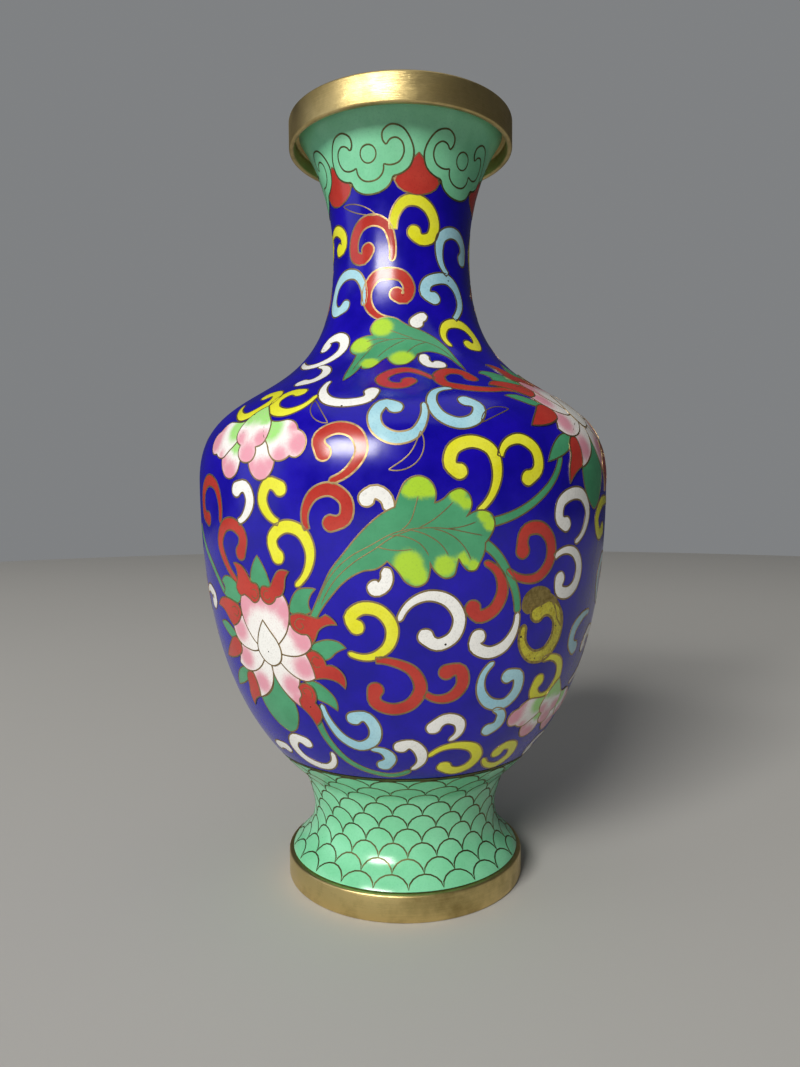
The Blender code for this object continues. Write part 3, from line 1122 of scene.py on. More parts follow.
@dataclass
class Scrolls:
    """The scrolls on the cobalt ground, each drawn from its tail to its bulb."""

    wall: Wall
    width: float = 1.48
    worn_width: float = 1.75
    leaf_wire_mm: float = 0.13
    worn_wire_mm: float = 0.3
    bare_patch: Spray = Spray(33.6, 82.6)

    WORN = ((31, 77), (31.2, 72.5), (35, 69.2), (40, 69.4), (43.2, 73), (42.6, 78), (39, 80.4), (35, 79.6))
    BARE = (
        Figure((((-3.4, -1.6), (-3, 1), (-1, 2.6), (1.8, 2.8), (4.2, 1.8)),
                ((4.2, 1.8), (4.6, 0.2), (2.6, -1), (0.4, -1.6), (-1.8, -2.8), (-3.4, -1.6))), 0),
        Figure((((3.6, 1.4), (6.4, 0), (9, -3), (10, -7)), ((10, -7), (8.4, -5.4), (6.8, -2.2),
                (3.6, 1.4))), 0),
    )

    RED = (
        ((-46.5, 86.5), (-51, 90.5), (-53.4, 95.5), (-50.5, 99.3), (-46.5, 99.8), (-42.6, 97.2),
         (-43.8, 93.4)),
        ((-52.8, 100), (-52.4, 104.5), (-54.8, 108.8), (-60, 110), (-65, 106.8), (-65, 102.5), (-61, 100.8)),
        ((-22.3, 98.5), (-23, 102.5), (-20.5, 106.6), (-16.5, 107.6), (-12.9, 105), (-13.3, 101.4),
         (-16.6, 100.4)),
        ((-16.8, 109.3), (-11.8, 111.8), (-9.4, 116), (-11, 119.6), (-15.5, 121), (-19.8, 118.6),
         (-18.4, 115.4)),
        ((-9, 70.3), (-3, 70), (2.2, 67.6), (4, 63.5), (1.3, 59.5), (-3.5, 58.3), (-8, 60.2), (-7.6, 63.2)),
        ((4.8, 62.6), (8.3, 60.8), (12.3, 61.2), (15, 64.3), (13.8, 67.8), (10.6, 67.4)),
        ((24.5, 90), (28.5, 87.9), (34, 88), (37.5, 91.5), (37.3, 95.8), (33.8, 98.8), (29.5, 98.3),
         (28.7, 94)),
        ((18.6, 91.8), (22.2, 89.5), (23.6, 85), (21, 80.8), (17.6, 80), (16.2, 81.8)),
        ((10.8, 137.5), (7.5, 141.5), (2, 143.7), (-4, 142.5), (-7, 139), (-4.6, 135.8), (-0.4, 135.2),
         (2, 137.6)),
        ((41, 134), (34, 134.8), (27, 134.2), (19, 134.6), (13, 136.5), (12.6, 140.5), (17, 143.4),
         (23, 142.8),
         (24.4, 140.2)),
        ((-7.5, 179), (-7.4, 184), (-12, 187.8), (-22, 189.4), (-33, 188.6), (-40.5, 185), (-39, 181),
         (-31, 180.2),
         (-27.5, 182.2)),
        ((-6, 163.3), (-16, 164.5), (-24, 167.8), (-26, 172), (-20, 175.2), (-10, 175.8), (1, 174.9),
         (5.5, 171.6),
         (1, 169), (-3.5, 170.3)),
    )
    YELLOW = (
        ((-28.8, 100.2), (-33, 102), (-35, 105.5), (-33, 109), (-29.6, 107.9)),
        ((-26.5, 86.5), (-23.3, 89.5), (-22, 94.5), (-24.3, 98.6), (-28.5, 99.6), (-32.4, 96.8), (-31, 93)),
        ((-14, 72), (-8, 71.2), (-3.9, 73.8), (-3, 78), (-6, 81.7), (-10.5, 82), (-12.9, 79.8), (-11.5, 78)),
        ((7.5, 43.8), (11.5, 46.4), (17, 47), (22.5, 45.5), (25, 42), (22.5, 38.5), (17.5, 37.8),
         (13.6, 39.8)),
        ((28.5, 41), (32, 37.8), (37, 36.8), (41.5, 39.5), (40, 43.3), (35.5, 43.8), (33.8, 42.2)),
        ((39.5, 67.6), (44, 67.8), (48.5, 65.5), (49.5, 61), (46.5, 57.5), (42, 57.3), (39.2, 59.8),
         (40.2, 62.2)),
        ((-57.5, 131), (-53.5, 127.5), (-48.5, 125.8), (-43.5, 128), (-41.3, 131.8), (-44, 134.8),
         (-48, 134)),
        ((-25.3, 132), (-27, 128), (-32, 126), (-37, 127.5), (-39, 131), (-36.6, 134.2), (-32.6, 133.9)),
        ((16.5, 102.6), (20.3, 106.5), (21.5, 111), (20, 116), (15.5, 117.6), (10.9, 115.6), (10.4, 112.4),
         (12.4, 111.2)),
        ((22.3, 113.5), (24, 117), (28.3, 118.4), (32.4, 116), (32.6, 111.5), (29.8, 109.8)),
        ((27.5, 155), (24.6, 158.5), (28.5, 161.9), (37, 163), (46, 162), (50.3, 159), (47, 156.2),
         (41, 156.3)),
        ((-5.5, 180), (-6.5, 186), (-4.5, 190.5), (3, 193.4), (12, 193.7), (22, 191.8), (26.8, 188),
         (23, 184.9),
         (14.5, 184.4), (10, 186)),
        ((-82, 187.5), (-74, 189.4), (-62, 189.4), (-53.6, 187), (-55, 184.4), (-60.5, 184.4)),
    )
    WHITE = (
        ((-44.8, 100.2), (-41, 102), (-39.2, 105.5), (-40.8, 108.3), (-44.2, 107.8)),
        ((-25, 44), (-25.6, 40.6), (-29.5, 37.9), (-35, 37.8), (-40.2, 40), (-41.4, 43.8), (-38.2, 46.6),
         (-34.2, 45.9)),
        ((2, 39.3), (5.2, 42), (4.6, 46), (1.5, 48.2), (-1.2, 47.4)),
        ((13.2, 48.8), (16, 51), (15.6, 54), (12, 55.3), (8.2, 53)),
        ((-1.3, 79.3), (1, 83), (5.5, 84.9), (10.5, 83.5), (13, 79.6), (11.5, 75.4), (7.5, 74), (5, 75.8)),
        ((28.3, 80.3), (28, 76), (25, 72.3), (20.8, 71.4), (17.2, 73.6), (18, 75.2)),
        ((47, 95), (51.5, 98), (53, 102), (50, 105.8), (45, 106.3), (40.5, 104), (40.4, 100.4), (42.8, 99.4)),
        ((38.5, 91.5), (42, 93.3), (47, 92.8), (50, 89.5), (49.3, 85.5), (45.5, 83.4), (41.8, 84.4),
         (41.8, 86.8)),
        ((-63, 152), (-57, 150.2), (-50, 148.9), (-42.5, 149.2), (-36, 151.6), (-33.4, 155), (-36.4, 158.3),
         (-43, 159.4), (-50, 158), (-48.6, 156.4)),
        ((-40.5, 148), (-34, 146.5), (-31.6, 143.5), (-33.6, 140.2), (-38.4, 139.6)),
        ((-25.3, 139), (-24.3, 133.5), (-20.5, 129.4), (-14.5, 128.2), (-9.2, 129.8), (-8.8, 132.4)),
        ((-72, 82), (-66, 82.8), (-62.8, 81), (-64.6, 79.8)),
    )
    PALE_BLUE = (
        ((-23.5, 58.6), (-21.8, 53), (-18.5, 48.9), (-14, 47.2), (-9.6, 49.2), (-8.7, 53), (-11.3, 56.1),
         (-14.4, 55.4)),
        ((-10.8, 46.1), (-7, 45.9), (-4.8, 43.3), (-7, 41)),
        ((23.2, 69), (20.5, 66), (20.6, 61.8), (24, 58.4), (29, 57.9), (32.2, 61), (31.2, 65), (28.3, 65)),
        ((25.5, 56.4), (28.4, 55.4), (28.8, 52.2), (25.8, 50.8)),
        ((62, 77), (56.5, 76.3), (52.6, 73.6), (52.4, 70.4), (55.4, 68.6)),
        ((5.2, 127.8), (4.8, 123), (2.5, 119.4), (-2, 118.4), (-6, 120.7), (-6.9, 124.5), (-4.4, 127.7),
         (-2, 126.4)),
        ((14.8, 134), (9.5, 132.6), (7.4, 128.5), (9, 123.8), (13.4, 121.9), (18.1, 123.6), (19.4, 127),
         (16.7, 128.6)),
        ((-28.5, 168), (-30, 173), (-37, 176.3), (-50, 177), (-61.5, 174.6), (-63, 170.6), (-55, 167.6),
         (-46, 168.6)),
        ((34, 163.5), (42, 166), (47.6, 169.5), (45.4, 173), (38, 175), (28, 174.9), (18.6, 173.2),
         (17.4, 170.8),
         (23.5, 169.6)),
        ((41, 175.8), (34, 178), (31, 182), (33.6, 185.6), (42, 187.2), (53, 186.8), (60, 184.2),
         (57.5, 181.4)),
    )
    WHITE_HOOKS = (
        ((-3.4, 102.8), (-4.2, 106), (-6.5, 107), (-8.2, 105.7)),
        ((-4.6, 91), (-4.0, 88.3), (-5.4, 86.6), (-6.6, 86.6)),
        ((11, 151.3), (9.6, 148.8), (11.8, 146.4), (15.4, 146.8)),
        ((16.8, 164.2), (12, 163.8), (9, 162.4)),
        ((-56, 39.8), (-52, 41.6), (-48, 41.4)),
    )
    SIDE = {
        Glaze.RED: (
            ((72, 50), (76, 45.5), (82, 44.5), (86, 48.5), (84, 53), (79.5, 52.5)),
            ((104, 70), (98.5, 73), (95.5, 78.5), (98, 83.5), (103, 84), (105.5, 80), (102.6, 78)),
            ((72, 172), (82, 175.6), (95, 175), (101, 171), (94, 167.6), (84, 169.4)),
        ),
        Glaze.YELLOW: (
            ((76, 104), (69, 104.6), (63, 103.6), (59.8, 100), (62.4, 96.4), (66.4, 97.4)),
            ((92, 58), (97, 62), (96, 68), (90.5, 69.6), (87.3, 66), (89.6, 63.6)),
            ((88, 140), (84, 145), (87.5, 150), (95, 150.6), (99, 147), (94.5, 144)),
            ((98, 181), (88, 178.5), (80, 181.5), (82, 187), (92, 189.6), (100, 187.6), (97, 184.6)),
        ),
        Glaze.WHITE: (
            ((62, 58), (68, 60), (73, 64.5), (72, 70), (66.5, 71.4), (64, 68)),
            ((80, 88), (86, 86.4), (91, 90), (91, 95.5), (86, 98), (82, 95.4), (84, 92.6)),
            ((66, 41), (60, 42), (56.5, 39.5), (58.5, 37.2)),
            ((97, 158), (88, 159.5), (80, 157.5), (76, 153.5), (82, 151), (88, 153)),
        ),
        Glaze.PALE_BLUE: (
            ((84, 101), (90, 103.4), (95, 108), (93, 114), (87, 115.4), (84, 111.4), (86.6, 109)),
            ((98, 44), (93, 41), (87.5, 40), (84, 40.6)),
            ((104, 122), (98, 120), (92, 122.4), (90.5, 128), (94.5, 132), (99.5, 130.6), (98.6, 127.4)),
            ((76, 78), (70, 80), (67, 85), (70, 89.6), (75, 89.4), (76, 86)),
        ),
    }

    LEAVES = (
        (((-24.4, 129.4), (-22, 125), (-18.3, 122.3)), 1.15),
        (((3.9, 119.8), (2.6, 114.6), (-3.2, 111.6)), 1.15),
        (((19, 122.2), (23.5, 125.4), (28.3, 126.4)), 1.15),
        (((-50, 194.4), (-36, 192.8), (-20, 190.5)), 1.0),
    )

    def build(self) -> None:
        """Every set of scrolls, and the wires round them all."""
        wires = Inlay(self.wall)
        sets = (
            ("red_scrolls", Glaze.RED, self.RED),
            ("yellow_scrolls", Glaze.YELLOW, self.YELLOW),
            ("white_scrolls", Glaze.WHITE, self.WHITE),
            ("pale_blue_scrolls", Glaze.PALE_BLUE, self.PALE_BLUE),
        )
        cells = {
            finish: [Cell(path, Form.SCROLL, self.width) for path in (*paths, *self.SIDE[finish])]
            for _, finish, paths in sets
        }
        cells[Glaze.WHITE] += [Cell(path, Form.HOOK, self.width) for path in self.WHITE_HOOKS]
        bands = {
            finish: [worked_out(self.wall, cell) for cell in group] for finish, group in cells.items()
        }
        rings = [band.ring(self.wall) for group in bands.values() for band in group]
        number = 0
        for name, finish, _ in sets:
            glass = Inlay(self.wall)
            for cell, band in zip(cells[finish], bands[finish]):
                band = stopped(self.wall, band, rings[:number] + rings[number + 1:])
                wires.outline(glass.fill(cell, band), 0)
                number += 1
            glass.piece(name, finish)
        for path, width in self.LEAVES:
            wires.outline(worked_out(self.wall, Cell(path, Form.LEAF, width)), 0, self.leaf_wire_mm)
        wires.piece("scroll_wires", Metal.GILT_WIRE)

    def worn_scroll(self) -> None:
        """The yellow scroll whose glass has worn away, with bare corroded metal beside it."""
        glass, bare = Inlay(self.wall, 1), Inlay(self.wall, 1)
        worn = glass.fill(Cell(self.WORN, Form.SCROLL, self.worn_width))
        bare.outline(worn, 1, self.worn_wire_mm)
        for figure in self.BARE:
            bare.wire(bare.shape(self.bare_patch, figure), True, figure.layer, self.worn_wire_mm)
        glass.piece("worn_scroll", Glaze.WORN_YELLOW)
        bare.piece("bare_metal", Metal.CORRODED)


@dataclass
class Flowers:
    """The lotus and peony sprays."""

    wall: Wall
    lotuses: tuple[Spray, ...] = (Spray(-37.7, 71.0), Spray(58.5, 127.0, 1.08))
    peonies: tuple[Spray, ...] = (Spray(-41.0, 119.0), Spray(50.5, 53.0, 0.85))
    wire_mm: float = 0.17
    swirl_mm: float = 0.1
    swirl_layer: int = 6

    LOTUS_LEAVES = (
        Figure((((0, 22), (1.8, 19.6), (3, 17), (3.4, 15), (0.2, 13.4)),
                ((0.2, 13.4), (-2.8, 15.4), (-2.7, 17.6), (-1.6, 20), (0, 22)))),
        Figure((((-7, 12), (-8.6, 15), (-11.4, 16.4), (-14.4, 16.2), (-16, 15)),
                ((-16, 15), (-14.6, 13.6), (-15.6, 12)),
                ((-15.6, 12), (-12.6, 10.6), (-9, 10.2), (-7, 12)))),
        Figure((((8, 9.6), (9, 12.6), (10.8, 14.7), (13.2, 15.3), (15.4, 15.1)),
                ((15.4, 15.1), (14, 13.6), (13.3, 11.6), (13.8, 10)), ((13.8, 10), (11, 9), (8, 9.6)))),
        Figure((((-12, 2), (-14.4, 4), (-17, 5), (-20.2, 4.4)), ((-20.2, 4.4), (-18, 2.4), (-15, 1),
                (-12, 2)))),
        Figure((((12, 2), (14.4, 3.2), (17, 3.8), (19.4, 3.3), (20.8, 2)),
                ((20.8, 2), (18.4, 0.9), (16.6, -0.6), (15.2, -1.2)), ((15.2, -1.2), (13.4, 0), (12, 2)))),
        Figure((((-9, -6.4), (-13, -6.4), (-16, -8), (-19.6, -12.6)),
                ((-19.6, -12.6), (-16, -11.6), (-12.4, -10), (-9, -6.4)))),
        Figure((((9, -6.4), (12.4, -7), (14.4, -8.6), (15.7, -11), (15.3, -13.9)),
                ((15.3, -13.9), (13.2, -12.2), (11, -11.2), (9, -6.4)))),
        Figure((((-0.3, -6), (-1.8, -10), (-4.6, -12.4), (-7.6, -13.6)),
                ((-7.6, -13.6), (-7.2, -16), (-5.8, -19), (-3.2, -21.6), (-1.2, -22.6)),
                ((-1.2, -22.6), (1, -21.6), (3, -19), (4.1, -16), (4.1, -13.2)),
                ((4.1, -13.2), (1.8, -10.2), (-0.3, -6)))),
    )
    LOTUS_PETALS = (
        Figure((((0.1, -2), (0.2, -7), (1.6, -9.8), (4, -12.6), (6, -14.2)),
                ((6, -14.2), (6.8, -11.6), (7, -8.6), (7.6, -6), (3, -2.6), (0.1, -2))), 2,
               ((5, -8.6, 4.2, 1.0), (5.6, -12.2, 3.4, 0.9))),
        Figure((((-0.2, -2), (-0.5, -7), (-1.8, -9.6), (-4.4, -12), (-7.8, -13.6)),
                ((-7.8, -13.6), (-7.8, -10), (-8, -6), (-3, -2.6), (-0.2, -2))), 2,
               ((-5.2, -9.2, 4.4, 1.0),)),
        Figure((((1, 0), (7, -0.7), (10, 0.2), (12, 0)), ((12, 0), (12.6, -3), (12, -5.8)),
                ((12, -5.8), (9.4, -6.8), (7.2, -6.3), (5, -4.9), (3, -2.8), (1, 0))), 3,
               ((9.6, -3.4, 4.4, 1.0),)),
        Figure((((-1, 0), (-6.4, -0.8), (-9.4, 0), (-11, 0)), ((-11, 0), (-12, -2.4), (-13.4, -5.2)),
                ((-13.4, -5.2), (-10.8, -6.6), (-8.4, -6.7), (-5.6, -5.8), (-3.2, -4), (-1, 0))), 3,
               ((-9.4, -3.2, 4.4, 1.0),)),
        Figure((((2, 0.6), (4, 2), (5.8, 4), (7.2, 6.8)), ((7.2, 6.8), (9.6, 6), (12.6, 3.6), (12.6, 2)),
                ((12.6, 2), (11.2, 0.5), (8.8, -0.6), (6.2, -0.9), (4, -0.6), (2, 0.6))), 4,
               ((10.6, 2.8, 4.0, 1.0), (8.6, 5, 3.0, 0.8))),
        Figure((((-2, 0.6), (-4, 1.4), (-5.8, 3.6), (-7.6, 7.4)), ((-7.6, 7.4), (-10.4, 6.6), (-12.6, 4.6)),
                ((-12.6, 4.6), (-11.8, 1.6), (-10, 0), (-7.4, -0.8), (-4.6, -0.9), (-2, 0.6))), 4,
               ((-9.6, 3.8, 4.4, 1.0),)),
        Figure((((0, -1), (4, 2), (6.4, 4.6), (7.8, 8), (8, 11), (6.7, 13.6)),
                ((6.7, 13.6), (3.4, 12.4), (0, 12.6), (-3.4, 12.4), (-6.4, 13)),
                ((-6.4, 13), (-7.7, 10.4), (-7.4, 7), (-6, 4), (-4.2, 1.6), (0, -1))), 5,
               ((0, 13, 5.0, 1.0), (-3.6, 12.4, 4.6, 1.0), (3.6, 12.2, 4.6, 1.0), (-6.8, 10, 4.4, 1.0),
                (6.8, 10, 4.2, 1.0), (-7.4, 6.6, 2.8, 0.8), (7.4, 6.8, 2.6, 0.8))),
    )
    LOTUS_SEPALS = (
        Figure((((-0.1, 13.4), (-0.7, 15.3), (-2.6, 15.8), (-3.8, 17.6), (-5.6, 19.3), (-8.9, 19.9)),
                ((-8.9, 19.9), (-7.6, 18), (-7.8, 16), (-8.5, 14), (-7.2, 12.4), (-5.6, 12.7)),
                ((-5.6, 12.7), (-4, 12), (-2.2, 11), (-0.6, 11.8), (-0.1, 13.4))), 6),
        Figure((((0.1, 13.4), (0.9, 15), (3.2, 15), (4.6, 17), (6.2, 18.8), (9.1, 18.7)),
                ((9.1, 18.7), (8, 17.2), (7.5, 15), (6.6, 13.4), (4.9, 12.8)),
                ((4.9, 12.8), (4, 11.6), (2.4, 11), (0.8, 11.7), (0.1, 13.4))), 6),
        Figure((((8.2, 8.8), (10.4, 9.5), (13, 9.1), (15.4, 8.7), (17, 9.5)),
                ((17, 9.5), (18.6, 8.6), (19.5, 7.3)), ((19.5, 7.3), (16.8, 7), (15, 5.8), (14, 4),
                 (12.8, 2.4)),
                ((12.8, 2.4), (12.2, 4.6), (10.4, 4.7), (8.4, 5.9), (8.2, 8.8))), 6),
        Figure((((-7.8, 8), (-8.6, 9.7), (-11, 10.6), (-14, 11.1), (-17, 10.8), (-19.8, 8.8)),
                ((-19.8, 8.8), (-16, 7.6), (-14, 5.6), (-12.6, 4.4)), ((-12.6, 4.4), (-9.4, 5.9),
                 (-7.8, 8))), 6),
        Figure((((10.8, 0), (12.6, 1), (14.6, -0.1), (15.4, -2.3)),
                ((15.4, -2.3), (17.4, -2.5), (19.1, -4.4), (18.7, -7.8)),
                ((18.7, -7.8), (17.2, -6.2), (15, -5.6), (12, -6)), ((12, -6), (11.8, -3), (10.8, 0))), 6),
        Figure((((-10.8, 0.2), (-12.4, 1.5), (-14.6, 1), (-16.6, -0.6), (-19, -2.6), (-21.2, -4.8)),
                ((-21.2, -4.8), (-17, -4.5), (-14, -3.7), (-11.6, -2.6)), ((-11.6, -2.6), (-10.6, -1),
                 (-10.8, 0.2))), 6),
        Figure((((6.7, -8.6), (8.4, -7.3), (10.6, -8.2), (11, -10.4), (10.2, -12.2)),
                ((10.2, -12.2), (11.1, -14.4), (10.2, -17), (8.4, -18.6)),
                ((8.4, -18.6), (7.8, -16.4), (6.2, -14.2)), ((6.2, -14.2), (6, -12), (7, -10.6),
                 (6.7, -8.6))), 6),
        Figure((((-8, -7.2), (-9.8, -6.9), (-11.4, -8.4), (-11.8, -11), (-12.8, -13.6), (-12.7, -17)),
                ((-12.7, -17), (-10.6, -14.8), (-7.8, -13.4)), ((-7.8, -13.4), (-7.4, -10.4), (-8, -7.2))),
                 6),
    )
    LOTUS_HEART = Figure((((-0.2, 7.1), (1.6, 4.7), (3.4, 2.2), (4, 0), (3.3, -2.4), (0.5, -3.9), (-2, -2.8),
                           (-3.4, -0.4), (-2.8, 2.6), (-1.5, 5.2), (-0.2, 7.1)),), 7)
    SWIRLS = (
        ((-2.6, 14), (-1.2, 13.9), (-0.9, 12.6), (-2, 12), (-2.9, 12.8)),
        ((2.9, 14), (1.5, 13.8), (1.3, 12.5), (2.4, 12), (3.2, 12.7)),
        ((12, 8), (10.2, 8.2), (9.2, 6.9), (10.2, 5.8), (11.4, 6.5), (10.8, 7.3)),
        ((14, -2.6), (12.8, -2.9), (12, -1.6), (12.8, -0.4), (14, -0.8)),
        ((9.6, -11), (10.1, -9.6), (9, -8.4), (7.7, -9.2), (8.2, -10.3)),
        ((-12, 8.8), (-10.4, 9.3), (-9, 8.2), (-10, 7), (-11.2, 7.6)),
    )
    PEONY_PETALS = (
        Figure((((-2.6, 1), (-5.2, -1), (-7.4, -2.8), (-9.7, -3.8)),
                ((-9.7, -3.8), (-9.2, -6.4), (-7.4, -8.4), (-5, -8.7), (-2.8, -7.4), (-1.8, -5),
                 (-1.6, -2), (-2.6, 1))),
               2, ((-6, -7.4, 4.8, 1.0), (-8.6, -5, 3.0, 0.9), (-4, -1, 3.4, -0.9))),
        Figure((((3, 1), (5.6, 0), (6.6, -1.6), (7.6, -3.6), (9.3, -5.2)),
                ((9.3, -5.2), (8.6, -7.4), (6.8, -9), (4.8, -9.3), (2.6, -8), (1.3, -5.4), (1.6, -2),
                 (3, 1))),
               2, ((5.4, -7.4, 4.6, 1.0), (2.4, -6.4, 3.0, 0.9), (8.2, -6, 2.8, 0.9))),
        Figure((((3.4, 6), (5.4, 4.6), (8, 4.3), (10, 4.6), (12, 4), (13.9, 1.9)),
                ((13.9, 1.9), (15.8, 0.8), (16.9, -1.2), (16.4, -3.4), (14.8, -4.5), (13.2, -4.1)),
                ((13.2, -4.1), (11.6, -5), (9.6, -5.1), (7.8, -3.8), (6.8, -1.8), (4.6, 1), (3.4, 6))),
               3, ((15, -1.4, 4.2, 1.0), (13, 3, 3.2, 0.9), (10.6, -4, 3.6, 0.9), (6.6, 2.2, 4.4, -1.0))),
        Figure((((-2.4, 6), (-5, 5), (-8, 5.2), (-11.6, 5.3), (-14.4, 3)),
                ((-14.4, 3), (-16.6, 1.6), (-17, -0.6), (-15.4, -2.6), (-13, -2.8)),
                ((-13, -2.8), (-11.8, -3.6), (-9.4, -3.9), (-7.2, -2.6), (-4, 0), (-2.4, 6))),
               3, ((-14.8, 0.2, 4.6, 1.0), (-13.4, 3.6, 3.0, 0.8), (-10.4, -3.2, 2.6, 0.7),
                   (-6, 3, 4.4, -1.0))),
        Figure((((0.6, 9.8), (3.4, 6.6), (5.6, 3.8), (6, 1.2), (5.3, -0.9), (3, -1.8)),
                ((3, -1.8), (3.3, -3.4), (2.4, -4.8), (0.4, -5.3), (-1.6, -4.7), (-2.7, -3.2), (-2.4, -1.2)),
                ((-2.4, -1.2), (-3.8, -0.5), (-4.9, 1.2), (-4.6, 3.6), (-3.2, 6.2), (0.6, 9.8))),
               4, ((0.6, -3.4, 4.6, 1.0), (4, 0, 3.8, 0.9), (-3, 0.4, 3.4, 0.8), (0.6, 8.6, 6.6, -1.0),
                   (3.4, 5.4, 3.4, -0.8), (-2.4, 6, 3.6, -0.8))),
    )

    def build(self) -> None:
        """All the flowers, gathered by enamel, and their wires."""
        leaves, sepals, petals, hearts = (Inlay(self.wall) for _ in range(4))
        wires = Inlay(self.wall)
        for spray in self.lotuses:
            for glass, figures in (
                (leaves, self.LOTUS_LEAVES), (petals, self.LOTUS_PETALS), (sepals, self.LOTUS_SEPALS),
                (hearts, (self.LOTUS_HEART,)),
            ):
                self.lay(glass, wires, spray, figures)
            for swirl in self.SWIRLS:
                curl = smooth(self.wall, spray.path(self.wall, swirl), 6)
                wires.wire(curl, False, self.swirl_layer, self.swirl_mm)
        for spray in self.peonies:
            self.lay(petals, wires, spray, self.PEONY_PETALS)
        leaves.piece("lotus_leaves", Glaze.LEAF)
        sepals.piece("lotus_sepals", Glaze.RED)
        petals.piece("flower_petals", Glaze.PETAL)
        hearts.piece("lotus_hearts", Glaze.WHITE)
        wires.piece("flower_wires", Metal.GILT_WIRE)

    def lay(self, glass: Inlay, wires: Inlay, spray: Spray, figures: Sequence[Figure]) -> None:
        """Lays figures of one enamel and the wire round each."""
        for figure in figures:
            wires.wire(glass.shape(spray, figure), True, figure.layer, self.wire_mm)


